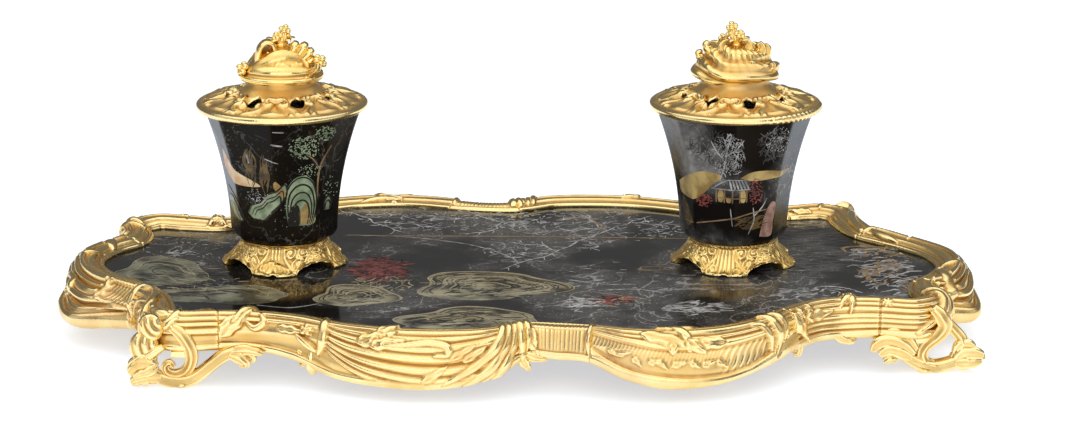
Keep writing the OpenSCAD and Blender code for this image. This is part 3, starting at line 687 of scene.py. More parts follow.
def tube(points, ribs=0, lobes=0, around=20, many=36, depth=0.25, swell=1.0):
    """Tube along rows of x, z, half height, half width and y, in the plane of x and z."""
    points = np.array([[*p, 0.0] if len(p) == 4 else p for p in points], float)
    line = curve_points(points, many)
    line[:, 2:4] = np.maximum(swell * line[:, 2:4], 0.15)
    way = unit(np.gradient(line[:, :2], axis=0))
    turn = circle(around + 1)
    share = np.linspace(0, 1, many)
    high = line[:, 2:3] * np.cos(turn)
    if lobes:
        high = high * (1 + 0.22 * np.abs(np.sin(math.pi * lobes * share))[:, None] - 0.12)
    wide = line[:, 3:4] * np.sin(turn)
    if ribs:
        wide = wide * (1 - depth + depth * np.cos(2 * math.pi * ribs * 0.5 * np.cos(turn)))
    x = line[:, :1] - way[:, 1:] * high
    z = line[:, 1:2] + way[:, :1] * high
    return np.stack([x, line[:, 4:5] + wide, z], -1)


def most(*heights):
    """The highest of several marks at each spot."""
    return np.maximum.reduce(heights)


EDGE = 0.3


def over(ground, *marks):
    """Marks laid over a ground, with a step at their edges: a mark hides the ground that it covers."""
    for mark in marks:
        cover = np.clip(mark / EDGE, 0, 1)
        ground = (1 - cover) * ground + cover * (mark + EDGE)
    return ground


def chased(ground, s, y, marks):
    """A ground with marks laid over it one by one, each given as its kind and what that takes."""
    for kind, *rest in marks:
        ground = over(ground, kind(s, y, *rest))
    return ground


def lip_marks(y):
    """Bead along the panel and fine reeds on the inner slope, the same on every casting."""
    return most(bead(y, -8.5, 1.8, 0.4), reeds((y + 7.2) / 5.8, 2, 0.5))


print("reed at its top and its edges:", reed_top(np.array([0.0, 1.0])).round(2))

# %% [markdown]
# The six castings, each with marks of its own: flutes at the front centre, flowing reeds and leaves on the
# bellies, plain reeds on the corners and broad ones round the ends. Each function is one chaser's drawing,
# with places in millimetres along the crest and down from it. The castings are then laid as skins, with
# their pendant leaves and the lugs that they are screwed on by, and turned for their twins.


# %% Six castings, each with its own marks
def front_centre(s, y, end):
    """Fine flutes in a hollow, over a bead, with folded edges at both joints."""
    low = end - y
    flutes = 0.1 * np.cos(2 * math.pi * (s + 0.25 * np.sin(0.9 * s)) / 1.6)
    flutes = flutes * window(y, -7.4, 100, 2) * window(low, 4.5, 100, 3)
    out = flutes - 0.9 * np.sin(math.pi * np.clip((y - 1.5) / (end - 5.5), 0, 1))
    out = over(out, bead(low, 1.8, 3.4, 0.6))
    edge = most(ridge(s, y, [(-1, 16), (0.2, 8), (0.6, 0), (2, -6)], 5, 1.5),
                ridge(s, y, [(3, 16), (4, 9), (3.6, 3)], 3, 0.8))
    return over(out, edge, ridge(s, y, [(28.6, 17), (27.6, 9), (28, 2), (27.2, -6)], 3.4, 1.1),
                leaf(s, y, (5.5, 17), -120, 9, 5, 0.9, 2))


RIGHT_BELLY = [
    (leaf, (20, 3), 12, 24, 8, 1.2, 3, 3), (leaf, (25, -5), 14, 14, 7, 1.2, 3, 2),
    (leaf, (54, 9), 188, 18, 7, 1.2, 3, -2), (ridge, [(29, -8), (34, -2), (38, 5), (39, 12)], 4.6, 1.5),
    (leaf, (38, 6), 50, 11, 7, 1.1, 2, -1), (leaf, (33, 7), 96, 7, 5, 1.0, 2),
    (ridge, [(26, -4.5), (36, -3), (46, -5)], 3.4, 1.0),
    (ridge, [(74, -4), (78, 4), (80, 12), (77, 20)], 5, 1.6),
    (ridge, [(80, -2), (84, 6), (83, 14)], 4, 1.3),
    (ridge, [(66, 3), (71, 4), (74, 10), (75, 18)], 3.4, 1.2)]


def front_right_belly(s, y, end):
    """Flowing reeds, a ribbed hollow with small leaves, a round roll below, and leaves that cross."""
    brow = [(0, 4), (14, 7), (30, 11), (50, 11.5), (70, 9.5), (86, 8)]
    roll = [(0, 11), (8, 16), (20, 21), (40, 24), (60, 23), (76, 17), (88, 12)]
    out = flow(s, y, [[(0, 0.4), (88, 0.4)], [(0, 1.6), (20, 3.2), (50, 4.2), (88, 3)],
                      [(0, 2.4), (20, 5.2), (50, 6.6), (88, 4.8)], brow], 1.15)
    brow_at = np.interp(s, *curve_points(brow, 40).T)
    roll_at = np.minimum(np.interp(s, *curve_points(roll, 40).T), end - 4)
    deep = y - brow_at
    band = window(deep, 0.4, 100, 1.6) * window(roll_at - y, 0.2, 100, 1.6)
    ribs = 0.09 * np.cos(2 * math.pi * (s + 0.3 * deep) / 1.5)
    ribs = ribs * window(deep, -1, 7, 3) * window(s, -5, 52, 6)
    commas = 0.36 * np.abs(np.cos(math.pi * (s + 0.5 * deep) / 3.1)) * window(s, 52, 80, 5)
    out = out + band * (ribs + commas - 0.75)
    t = np.clip((y - roll_at) / np.maximum(end - roll_at, 1), 0, 1)
    out = over(out, 1.4 * np.clip(4 * t * (1 - t), 0, 1) ** 0.8)
    for at, turn, long in (((7, 12), 20, 7), ((11, 14.6), -28, 8), ((17, 15), 34, 7), ((23, 17.4), -16, 7),
                           ((26, 16), 30, 8), ((32, 19), -24, 9), ((39, 17.4), 18, 7), ((44, 19.6), -30, 8),
                           ((50, 17.6), 24, 7)):
        out = over(out, leaf(s, y, at, turn, 0.8 * long, 3.6, 0.17, 2, 1.2))
    return chased(out, s, y, RIGHT_BELLY)


RIGHT_CORNER = [
    (leaf, (0, 4), 60, 17, 9, 1.3, 3, 1), (flower, (5, 5.5), 6.5, 1.4),
    (leaf, (8, 8), 4, 17, 7, 1.1, 3, -2), (flower, (11.5, 4), 5, 1.2),
    (ridge, [(29, -9), (31.5, -3), (34, 3), (33, 9)], 3.8, 1.7),
    (ridge, [(37, -8.5), (34.5, -3), (31, 2), (28, 6)], 3.4, 1.5), (flower, (33, -2), 5, 1.8),
    (flower, (49, 3.4), 5.4, 1.1, 6), (ridge, [(60, 19), (68, 12), (74, 4), (78, -6)], 5, 1.8),
    (ridge, [(66, 20), (73, 13), (79, 5), (84, -5)], 5, 1.6), (volute, (90, 10), 12, 1.4, 1.75, -1, 40),
    (ridge, [(84, 16), (94, 18), (102, 12), (104, 2)], 4.4, 1.5)]


def front_right_corner(s, y, end):
    """Flowing reeds with flowers and leaves, a crossed ribbon and a volute at the tip."""
    low = end - y
    out = flow(s, y, [[(0, 0.4), (110, 0.4)], [(0, 2.6), (45, 3), (110, 3.4)],
                      [(0, 5), (45, 5.4), (110, 7)], [(0, 7.6), (45, 8.2), (110, 11)]], 1.0)
    out = out - 0.5 * window(y, 8.4, 100, 2.4) * window(low, 3.6, 100, 2.4)
    out = out + reeds((y - 9) / np.maximum(end - 13.4, 1), 3, 0.55)
    out = over(out, bead(low, 2.0, 4.0, 0.9))
    out = chased(out, s, y, RIGHT_CORNER)
    return out - 0.5 * window(s, 46.0, 46.8, 0.5) * window(y, -3, 100, 1)


END_REEDS = [0, 0.16, 0.33, 0.52, 0.74, 1]
RIM_END = [
    (ridge, [(1, 22), (6, 12), (10, 3), (16, -6)], 7, 1.2),
    (ridge, [(26, -7), (30, -1), (33, 6), (32, 12)], 4, 1.0),
    (ridge, [(40, 26), (41, 17), (46, 11), (54, 11), (57, 17), (54, 22), (49, 21)], 4.6, 1.4, 0.5),
    (ridge, [(78, -5), (87, -3.4), (96, -1)], 4, 1.1),
    (ridge, [(98, 18), (96.4, 10), (97, 2), (98, -5)], 4.4, 1.3),
    (ridge, [(76, 16), (77, 8), (76, 0)], 3.4, 0.8)]


def rim_end(s, y, end):
    """Broad reeds round the end of the tray, crossed by ridges, with one fluted scoop."""
    low = end - y
    depth = np.clip((y - 0.4) / np.maximum(end - 9.4, 1), 0, 0.9999)
    edges = np.array(END_REEDS)
    k = np.searchsorted(edges, depth, side="right") - 1
    out = 1.6 * reed_top(2 * (depth - edges[k]) / (edges[k + 1] - edges[k]) - 1) * (y > 0.4)
    out = over(out, bead(low, 4.4, 9, 1.7))
    scoop = window(s, 79, 97, 3) * window(y, 2.5, 15, 2)
    out = out * (1 - scoop) + scoop * (0.5 * np.abs(np.cos(math.pi * (s + 0.4 * y) / 2.2)) - 1.2)
    return chased(out, s, y, RIM_END)


LEFT_CORNER = [
    (ridge, [(0, -4), (8, -2), (18, 0), (26, 4), (28, 10), (23, 14), (18, 12), (19, 8)], 5, 1.9, 0.45),
    (ridge, [(0, 17), (5, 10), (11, 6), (18, 4)], 4, 1.4), (leaf, (32, 3), 6, 16, 6, 1.0, 3),
    (ridge, [(30, 17), (38, 13), (44, 6), (46, -3)], 4, 1.3), (leaf, (50, -6), 12, 12, 5, 0.9, 3)]


def front_left_corner(s, y, end):
    """Reeds that a large scroll winds over."""
    low = end - y
    out = flow(s, y, [[(0, 0.4), (64, 0.4)], [(0, 6), (26, 5), (45, 3.4), (64, 3.2)],
                      [(0, 11), (26, 9.4), (45, 6.6), (64, 6)], [(0, 15), (26, 13.5), (45, 10), (64, 9)],
                      [(0, 17), (26, 16), (45, 14), (64, 13.4)]], 1.4)
    out = over(out, bead(low, 1.6, 3.2, 0.8))
    return chased(out, s, y, LEFT_CORNER)


LEFT_BELLY = [
    (leaf, (0, 14), -52, 20, 9, 1.4, 3, 3), (ridge, [(6, 7), (11, 0), (14, -6), (12, -9)], 4.2, 1.9),
    (ridge, [(12, 6), (16, 9), (20, 6), (18, 2)], 3.6, 1.5), (leaf, (26, 8), 2, 15, 5, 0.8, 3),
    (flower, (40.5, 7), 6.5, 1.3), (ridge, [(36, 10), (41, 14), (46, 17)], 3.6, 1.2),
    (ridge, [(46, -4), (48.5, 4), (49, 12), (47, 18)], 4.6, 1.5), (leaf, (64, 9), -18, 18, 8, 1.5, 3, -1),
    (leaf, (70, 10.5), -24, 15, 7, 1.8, 3, 2), (leaf, (72, 3), -34, 10, 6, 1.5, 2),
    (ridge, [(76, 9), (85, 8.4), (93, 7.4), (99.5, 9), (100, 13), (95.5, 13.6)], 3.8, 1.6, 0.5),
    (leaf, (101, 16), -46, 13, 5, 1.2, 2, 2), (leaf, (106, 17), -50, 12, 5, 1.1, 2, 2),
    (leaf, (90, 26), -36, 13, 5, 0.9, 2)]


def front_left_belly(s, y, end):
    """A plain band that turns into flowing reeds, with leaves, a scroll and a fan of ridges."""
    low = end - y
    plain = 1 - ease(s, 46, 54)
    band = flow(s, y, [[(0, 0.4), (60, 0.4)], [(0, 3), (30, 3.4), (60, 3)], [(0, 6), (30, 6.4), (60, 5)]],
                1.0)
    band = band - 0.7 * window(y, 6.6, 100, 3) * window(low, 4, 100, 3)
    lines = [[(46, 0.4), (130, 0.4)], [(46, 1.6), (80, 3.4), (110, 3.2), (130, 1.2)],
             [(46, 2.8), (62, 5.6), (80, 7), (97, 7.6), (130, 2)],
             [(46, 5), (62, 10), (80, 12.4), (97, 13), (112, 11), (130, 6)],
             [(46, 7), (62, 14.4), (80, 17.6), (97, 18.4), (112, 16), (130, 11)],
             [(46, 9), (62, 18), (80, 22), (97, 23.4), (112, 21), (130, 16)],
             [(46, 11), (62, 21), (80, 26), (97, 28), (112, 26), (130, 21)],
             [(46, 13), (62, 23.6), (80, 29), (97, 32), (112, 30), (130, 25)]]
    out = band * plain + flow(s, y, lines, 1.15) * (1 - plain)
    out = over(out, bead(low, 1.9, 3.8, 0.9))
    fan = []
    for k, high in ((0, 1.9), (5, 1.4), (10, 1.6)):
        line = [(98 + k, 27 + 0.6 * k), (111 + 0.8 * k, 18 + 0.6 * k), (120.5 + 0.6 * k, 7 + 0.5 * k),
                (126 + 0.4 * k, -6 + 0.3 * k)]
        fan.append(ridge(s, y, line, 4.6, high))
    return over(chased(out, s, y, LEFT_BELLY), most(*fan),
                ridge(s, y, [(132.4, 26), (131.4, 14), (131.4, 4), (132, -6)], 4.2, 1.6))


# CAD node, its twin, its marks and whether its lip is reeded
CASTINGS = [("rim_front_centre", "rim_back_centre", front_centre, 0),
            ("rim_front_right_belly", "rim_back_left_belly", front_right_belly, 1),
            ("rim_front_right_corner", "rim_back_left_corner", front_right_corner, 1),
            ("rim_right_end", "rim_left_end", rim_end, 1),
            ("rim_front_left_corner", "rim_back_right_corner", front_left_corner, 1),
            ("rim_front_left_belly", "rim_back_right_belly", front_left_belly, 1)]
# Pendant leaves below the rim: rows for a tube, with its ribs and lobes
DROPS = {
    "rim_front_left_belly": [
        ([(-84.6, 18, 1.0, 1.2, -98), (-85.2, 14, 2.0, 2.0, -99), (-84.7, 10.4, 2.7, 2.5, -99),
          (-84.4, 7.2, 1.2, 1.2, -98.6)], 0, 0),
        ([(-91, 16.5, 1.2, 1.4, -96), (-88.6, 14.2, 1.7, 1.6, -97), (-88.2, 11.6, 1.4, 1.4, -97),
          (-90, 10.6, 0.8, 1, -97)], 2, 0),
        ([(-123, 14.5, 1.3, 1.6, -88), (-118, 13, 2.4, 2.2, -90), (-114, 10.2, 2.2, 2.0, -91),
          (-114.6, 8.0, 1.2, 1.4, -91)], 3, 3),
        ([(-120, 15.5, 1.3, 1.6, -89), (-114, 15, 2.0, 2.0, -91), (-109.6, 12.6, 1.8, 1.8, -92),
          (-110, 10.4, 1.0, 1.2, -92)], 3, 3)],
    "rim_front_centre": [
        ([(0, 19, 1.2, 1.4, -104), (1.4, 15.5, 2.4, 2.0, -105), (3.2, 12.6, 1.8, 1.6, -105),
          (4.4, 10.8, 0.8, 0.9, -104.6)], 3, 3),
        ([(2, 18, 1, 1.2, -104.4), (5.4, 16.4, 1.8, 1.6, -105), (9.4, 15.6, 1.2, 1.2, -105),
          (12, 16, 0.6, 0.7, -104.6)], 2, 2)],
    "rim_front_right_belly": [
        ([(103, 25, 1.6, 1.6, -93), (105.4, 20.5, 3.2, 2.2, -93), (107, 15.5, 2.8, 2.2, -91.4),
          (106.4, 10.8, 1.1, 1.2, -90.4)], 3, 3),
        ([(106.6, 24, 1.4, 1.5, -90), (109.8, 20, 2.6, 2, -89), (111.4, 16, 2, 1.8, -87.4),
          (111, 13, 0.8, 1, -86.6)], 3, 3)],
    "rim_front_right_corner": [
        ([(113, 18, 1.2, 1.3, -85), (115.6, 14.4, 2.0, 1.8, -83.6), (115.4, 11.6, 1.6, 1.6, -83.2),
          (113.6, 11, 0.8, 1, -83.4)], 2, 2),
        ([(131, 17, 1.2, 1.3, -72), (134.6, 14.2, 2.0, 1.8, -71.6), (138.6, 13, 1.4, 1.4, -71.4),
          (140.6, 14.4, 0.7, 0.8, -71)], 3, 2)],
}
LUG_SHARES = [[0.5], [0.3, 0.7], [0.12], [0.3, 0.7], [0.3], [0.3, 0.7]]
# Size of a lug, how far it reaches in and its eased edge, in metres
LUG_SIZE, LUG_IN, LUG_EDGE = (0.017, 0.01, 0.0015), 0.0065, 0.0002
RIM_PITCH = 0.4
LIP_END, SEAM_DEPTH = -9.2, 0.35


def lug(t):
    """Tab under the board that the rim is screwed on by."""
    way, spot = outward(np.array([t]))[0], crest(np.array([t]))[0]
    start()
    bpy.ops.mesh.primitive_cube_add(size=1)
    piece = bpy.context.object
    turn = Matrix.Rotation(math.atan2(way[1], way[0]), 4, "Z")
    size = Matrix.Diagonal((*LUG_SIZE, 1))
    shift = Matrix.Translation((-LUG_IN, 0, (BOARD_LOW - 0.75) * MM))
    piece.data.transform(Matrix.Translation((spot[0] * MM, spot[1] * MM, 0)) @ turn @ shift @ size)
    modifier = piece.modifiers.new("edges", "BEVEL")
    modifier.width, modifier.segments = LUG_EDGE, 2
    bpy.ops.object.modifier_apply(modifier="edges")
    return piece


def place_twins(piece, name, other):
    """The piece for one CAD node, and a copy half a turn on for the opposite node."""
    twin = copied(piece, other + "_cast", HALF_TURN)
    place(piece, gilt, "gilt", nodes=[name])
    place(twin, gilt, "gilt", nodes=[other])


def rim_casting(number):
    """One casting with its drops and lugs, and its twin."""
    name, other, marks, lip = CASTINGS[number]
    side = 0 if number < 4 else HALF
    first, last = side + JOINTS[number], side + JOINTS[number + 1]
    t, row, face, back, s, y, end, normal = face_table(first, last, RIM_PITCH)
    height = marks(s, y, end)
    rest = lip * lip_marks(y)
    height = np.where(height > 1e-3, over(rest, height * ease(y, LIP_END, -7)), rest + height)
    height *= ease(end - y, 0, 0.6)
    seam = np.minimum(s, s[-1, 0] - s)
    height = np.where(y < LIP_END, 0, height) - SEAM_DEPTH * (1 - ease(seam, 0.1, 0.5))
    face = face + height[..., None] * normal
    ring = np.concatenate([face, back, face[:, :1]], 1)
    spot = row[:, None, :2] + ring[..., :1] * outward(t)[:, None]
    piece = skin(name + "_cast", np.concatenate([spot, ring[..., 1:]], -1))
    shade_by_recess(piece)
    extra = [skin("drop", tube(line, ribs, lobes)) for line, ribs, lobes in DROPS.get(name, [])]
    for drop in extra:
        shade_by_recess(drop, 2)
    extra += [lug(first + k * (last - first)) for k in LUG_SHARES[number]]
    piece = joined(name + "_cast", [piece, *extra])
    place_twins(piece, name, other)
    return piece


rims = [rim_casting(k) for k in range(len(CASTINGS))]
print("castings:", 2 * len(rims), "faces in one belly:", len(rims[1].data.polygons))

# %% [markdown]
# The feet. Each is a set of scrolls cast in one with its leaves: a bottom scroll that lies on the table,
# a strut that curls up to the rim, a toe of leaves and a leg. A scroll is a tube whose section follows a
# drawn line. The front left and front right feet differ, and the back ones are their turned twins.


# %% Feet
# Place of each front foot, and the side that its toe points to
FOOT_PLACES = {"right": (169.672, -72.008, 1), "left": (-139.0, -92.0, -1)}


def foot_frame(table, corner):
    """From the foot's own u, w, z to the tray: u runs to the toe and w out of the tray."""
    x, y, hand = FOOT_PLACES[corner]
    return np.stack([x + hand * table[..., 0], y - table[..., 1], table[..., 2]], -1)


# Scrolls and leaves: rows for a tube, with its ribs and lobes
FOOT_LINES = {
    "right": [
        ([(-22, 15.5, 0.8, 1.4), (-17, 13, 1.6, 2.4), (-11, 9.2, 2.1, 3), (-6, 5.6, 2.3, 3.3),
          (-1, 3.2, 2.4, 3.5), (4, 2.4, 2.4, 3.5), (9, 3.4, 2.4, 3.4), (14, 5, 2.4, 3.2),
          (19, 5.6, 1.8, 2.6), (25, 6.6, 0.8, 1.2)], 3, 0),
        ([(2.5, 28, 1.6, 2, 1), (6, 24.5, 2.4, 2.6, 1.5), (7.6, 20, 2.5, 2.8, 1.2),
          (4.6, 15.5, 2.3, 3, 0.5), (0.4, 11.8, 2, 3.2), (-1.3, 7.8, 1.9, 3.2), (0.6, 4.2, 1.8, 3),
          (5, 3, 1.6, 2.6)], 2, 0),
        ([(8.5, 22, 1.4, 1.6, -1), (12.3, 17.5, 1.9, 2.4, -1), (15.2, 13.5, 2, 2.8), (14.2, 9.6, 1.9, 2.8),
          (12, 6, 1.8, 2.6)], 2, 0),
        ([(-5, 8, 1.4, 1.6, 2), (-10, 12, 2.4, 1.8, 3), (-16, 14.2, 2.4, 1.6, 3.2),
          (-20.5, 12.6, 1.8, 1.4, 3), (-22.4, 9.6, 1.1, 1.1, 2.6)], 3, 2),
        ([(-6, 6.5, 1.4, 1.6, 2.4), (-11, 9.4, 2.2, 1.7, 3.6), (-16, 10.4, 2, 1.5, 3.8),
          (-19.4, 8.2, 1.2, 1.2, 3.4)], 3, 2),
        ([(-4, 10, 1.2, 1.4, 1.4), (-8, 14.6, 2, 1.6, 1.8), (-13, 17.4, 1.8, 1.4, 1.8),
          (-17.4, 16.8, 1.1, 1.1, 1.4)], 3, 2),
        ([(-12, 6.4, 1.2, 1.4, 2.8), (-15, 6.8, 1.6, 1.4, 3.8), (-17.6, 5.4, 1, 1, 3.8)], 2, 0),
        ([(12, 5, 1.6, 2, 1.2), (16, 8.2, 2.6, 2, 1.8), (20, 8.6, 2.2, 1.7, 2), (24, 7.6, 1.4, 1.3, 1.8)],
         3, 2),
        ([(12, 4.4, 1.6, 2, 1.4), (16.5, 4.4, 2.2, 1.8, 2.4), (20.5, 4.6, 1.6, 1.5, 2.4),
          (23.4, 5.4, 1.1, 1.1, 2)], 3, 2),
        ([(12.5, 8, 1.6, 1.8, 0.6), (14.6, 11.6, 2.2, 1.7, 1.2), (17.6, 12.2, 1.8, 1.4, 1.4),
          (20.4, 10.8, 1.1, 1.1, 1.4)], 3, 2),
    ],
    "left": [
        ([(14, 7.5, 1.6, 2.4), (9, 4, 2.2, 3.2), (3, 2.4, 2.4, 3.5), (-3, 2.8, 2.4, 3.5),
          (-8, 5.6, 2.3, 3.4), (-13, 9.8, 2.2, 3.2), (-18.5, 13.6, 2.3, 3), (-25, 15.4, 1.8, 2.4),
          (-30, 14.6, 0.8, 1.4)], 3, 0),
        ([(4, 26, 1.4, 1.6, 1), (-0.5, 22.5, 2.2, 2.4, 1.2), (-3.8, 17, 2.3, 3, 0.8),
          (-4.4, 11.5, 2.1, 3.2, 0.4), (-2, 7, 1.9, 3.2, 0.4), (2.2, 5.2, 1.7, 3, 0.6),
          (5.6, 6.6, 1.5, 2.8, 1), (6.4, 9.4, 1.3, 2.6, 1.4), (4.4, 10.8, 1.1, 2.4, 1.8),
          (3, 9, 1, 2.2, 2)], 2, 0),
        ([(11.4, 28, 2.4, 1.8, -1), (13, 23, 3.2, 2.2, -0.6), (13.8, 18, 3.4, 2.4, -0.4),
          (14, 13, 3.2, 2.4, 0), (14, 8.6, 2.7, 2.4, 0.4)], 5, 3),
        ([(7, 17.5, 1.2, 1.6, 1.4), (10, 15.8, 1.8, 2.2, 1.2), (13.4, 13.6, 2.2, 2.6, 1)], 0, 0),
        ([(10, 8, 1.8, 2.2, 1), (14, 9.8, 2.8, 2.2, 2), (18, 8.8, 2.4, 1.9, 2.4),
          (21.4, 6.2, 1.3, 1.3, 2.2)], 4, 3),
        ([(8, 4.6, 1.8, 2.2, 1.4), (13, 5, 2.6, 2.2, 2.8), (17.4, 3.8, 2.1, 1.8, 3),
          (20.6, 2.4, 1.2, 1.2, 2.6)], 4, 3),
        ([(12, 11.4, 1.6, 2, 0.8), (16, 12.2, 2.2, 1.8, 1.8), (19.2, 10.6, 1.7, 1.5, 2),
          (21.4, 8.2, 1, 1, 1.8)], 3, 2),
        ([(9.6, 9.4, 1.4, 1.6, 2.2), (13, 7.4, 1.9, 1.7, 3.6), (16.6, 6.4, 1.5, 1.4, 4),
          (19, 4.6, 0.9, 0.9, 3.6)], 3, 2),
        ([(-20, 14.4, 1.6, 2, 1.4), (-24, 13, 1.9, 1.8, 2), (-26.6, 10.4, 1.5, 1.4, 2),
          (-26.4, 8.4, 0.7, 0.8, 1.8)], 2, 2),
        ([(-22, 16, 1.4, 1.6, 1.6), (-27, 16.2, 1.7, 1.6, 2), (-31.5, 15.2, 1.2, 1.3, 1.8),
          (-34, 14, 0.5, 0.8, 1.4)], 2, 2),
    ],
}
FOOT_SWELL, STANDING = 1.3, 0.05
# Middle, half sizes, height, angle of the hinge and place outwards of each shell
FOOT_SHELLS = {"right": [], "left": [((12.2, 25.2), (5.4, 6.2), 3.6, 140, 0.4),
                                     ((15, 17), (6.2, 6.8), 3.8, 165, 0.2)]}


def scallop(middle, half, high, hinge, w):
    """A domed shell whose ribs go round a hinge on its edge, in the foot's own u, w and z."""
    turn, far = circle(49), np.linspace(0, 1, 20)[:, None]
    u, z = far * np.cos(turn), far * np.sin(turn)
    a = math.radians(hinge)
    reach = np.hypot(u - 1.3 * math.cos(a), z - 1.3 * math.sin(a))
    dome = high * np.sqrt(np.clip(1 - far**2, 0, 1)) * (0.74 + 0.26 * np.abs(np.cos(1.7 * math.pi * reach)))
    return np.stack([middle[0] + half[0] * u, w + dome + 0 * turn, middle[1] + half[1] * z], -1)


def flattened(table):
    """Pressed flat where the foot stands."""
    table[..., 2] = np.maximum(table[..., 2], STANDING)
    return table


# Low corner and size of the block under the board and of the strip that runs out from it
FOOT_BLOCKS = [((-14, -20.5, 12.8), (12, 10, 4.7)), ((-5, -13, 12.8), (9, 15, 2.5))]
BLOCK_EDGE = 0.0003


def box_piece(low, size, corner):
    """A block with eased edges in the foot's own frame."""
    start()
    bpy.ops.mesh.primitive_cube_add(size=1)
    piece = bpy.context.object
    corners = np.array([v.co for v in piece.data.vertices]) + 0.5
    spots = foot_frame(np.array(low) + corners * np.array(size), corner) * MM
    piece.data.vertices.foreach_set("co", spots.astype(np.float32).ravel())
    bpy.ops.object.mode_set(mode="EDIT")
    bpy.ops.mesh.select_all(action="SELECT")
    bpy.ops.mesh.normals_make_consistent(inside=False)
    bpy.ops.mesh.bevel(offset=BLOCK_EDGE, segments=2)
    bpy.ops.object.mode_set(mode="OBJECT")
    return piece


def sole():
    """Round pad that the foot stands on."""
    turn = circle(25)
    rows = [(0.2, 0.0), (3.0, 0.0), (3.2, 0.3), (3.2, 2.0), (0.2, 2.0)]
    return np.array([[(r * math.cos(a), r * math.sin(a), z) for a in turn] for r, z in rows])


def foot(corner, name, other):
    """One foot joined from its scrolls, shells, sole and blocks, and its twin."""
    parts = [skin("scroll", foot_frame(flattened(tube(line, ribs, lobes, swell=FOOT_SWELL)), corner))
             for line, ribs, lobes in FOOT_LINES[corner]]
    parts += [skin("shell", foot_frame(scallop(*shell), corner)) for shell in FOOT_SHELLS[corner]]
    parts.append(skin("sole", foot_frame(sole(), corner)))
    parts += [box_piece(low, size, corner) for low, size in FOOT_BLOCKS]
    piece = joined(name + "_cast", parts)
    shade_by_recess(piece, 2)
    place_twins(piece, name, other)
    return piece


feet = [foot("right", "foot_front_right", "foot_back_left"),
        foot("left", "foot_front_left", "foot_back_right")]
print("foot faces:", [len(f.data.polygons) for f in feet])

# %% [markdown]
# The pots are eight-sided wooden cups that flare to the mouth, turned hollow inside and lacquered.
# Their table goes once round the outside, over the mouth, down the inside and out through the bolt hole.

# %% Pots
POTS = {"ink": (-103.0, 7.0), "sand": (94.0, 7.0)}
POT_Z, POT_H, MOUTH_Z, NECK_TOP, CAP_TOP = 38.5, 59.0, 97.5, 110.5, 123.5
POT_TURN, CREASE = -93, math.radians(28)
LEDGE_Z, LEDGE_R, FLOOR = 54.0, 28.73, 4.0
POT_WALL, BOLT_R, FLAT_SHARE = 2.4, 2.1, 0.9239


def pot_corner(z):
    """Radius of the pot's corners at a height over its foot."""
    return 23.6 - 2.2 * np.maximum(0, 1 - z / 4) ** 2 + 12 * (z / POT_H) ** 1.95


SHARP = 80


def octagon(angle):
    """Radius of an eight-sided ring with eased corners, as a share of its corner radius."""
    middles = np.radians(POT_TURN + 22.5 + 45 * np.arange(8))
    near = np.clip(np.cos(angle[..., None] - middles), 0, None)
    return math.cos(math.pi / 8) / (near**SHARP).sum(-1) ** (1 / SHARP)


CORNER_STEPS = np.array([-18, -12, -7.5, -4.5, -2.6, -1.5, -0.6, 0, 0.6, 1.5, 2.6, 4.5, 7.5, 12, 18, 22.5])
POT_ANGLES = np.radians(np.concatenate([POT_TURN + 45 * k + CORNER_STEPS for k in range(8)]
                                       + [[POT_TURN + 360 + CORNER_STEPS[0]]]))


def turned(r, z, angle):
    """Points from radius, height and angle."""
    return np.stack([r * np.cos(angle), r * np.sin(angle), z + 0 * r], -1)


def pot_table():
    """Outside of the pot, mouth, ledge for the liner, inside and bolt hole."""
    share = octagon(POT_ANGLES)
    outer = np.concatenate([[0, 0.3, 0.8, 1.6, 2.6, 3.6], np.linspace(5, POT_H - 0.4, 34)])
    rows = [(pot_corner(z) * share, z) for z in outer]
    rows.append((pot_corner(POT_H) * share - 0.3, POT_H))
    inside = [(LEDGE_R, POT_H), (LEDGE_R, LEDGE_Z), (LEDGE_R - 2, LEDGE_Z)]
    for z in np.linspace(LEDGE_Z - 4, FLOOR, 8):
        inside.append((np.minimum(FLAT_SHARE * pot_corner(z) - POT_WALL, LEDGE_R - 2), z))
    inside += [(BOLT_R, FLOOR), (BOLT_R, 0.0)]
    rows += [(r + 0 * share, z) for r, z in inside]
    rows.append((pot_corner(0.0) * share, 0.0))
    return np.array([turned(r, z, POT_ANGLES) for r, z in rows])


def at_pot(table, pot, z):
    """Points moved to the axis of a pot, at a height over the soles."""
    return table + np.array([*POTS[pot], z])


for pot in POTS:
    piece = skin(pot + "_pot_cup", at_pot(pot_table(), pot, POT_Z))
    bpy.ops.object.shade_smooth_by_angle(angle=CREASE)
    place(piece, ink_lacquer if pot == "ink" else sand_lacquer, "lacquer", nodes=[pot + "_pot"])
print("pots:", list(POTS), "mouth radius in mm:", round(float(pot_corner(POT_H)), 1))

# %% [markdown]
# The base mounts are gilt rings on four spread feet with arches between. Both are chased all over with
# small scrolls, stems and leaves. The ink pot's mount has leaves in the middle of each foot, and the sand
# pot's has a fan of ribs. One table goes down the outside, under the ring and up to the bolt hole.

# %% Base mounts
BASE_H, BASE_TOP_R, ARCH = 12.5, 18.1, 0.34
BASE_LINE = np.array([[BASE_TOP_R, 1], [19.3, 0.95], [18.9, 0.87], [19.0, 0.8], [20.0, 0.64], [21.4, 0.48],
                      [22.8, 0.32], [24.4, 0.17], [25.8, 0.06], [25.3, 0.0]])
BASE_TURN = {"ink": math.radians(-7), "sand": math.radians(-12)}
BASE_BACK = [(21.2, 0.0), (17.5, 0.4), (2.1, 0.7), (2.1, 1.0)]
BASE_RELIEF = 0.5
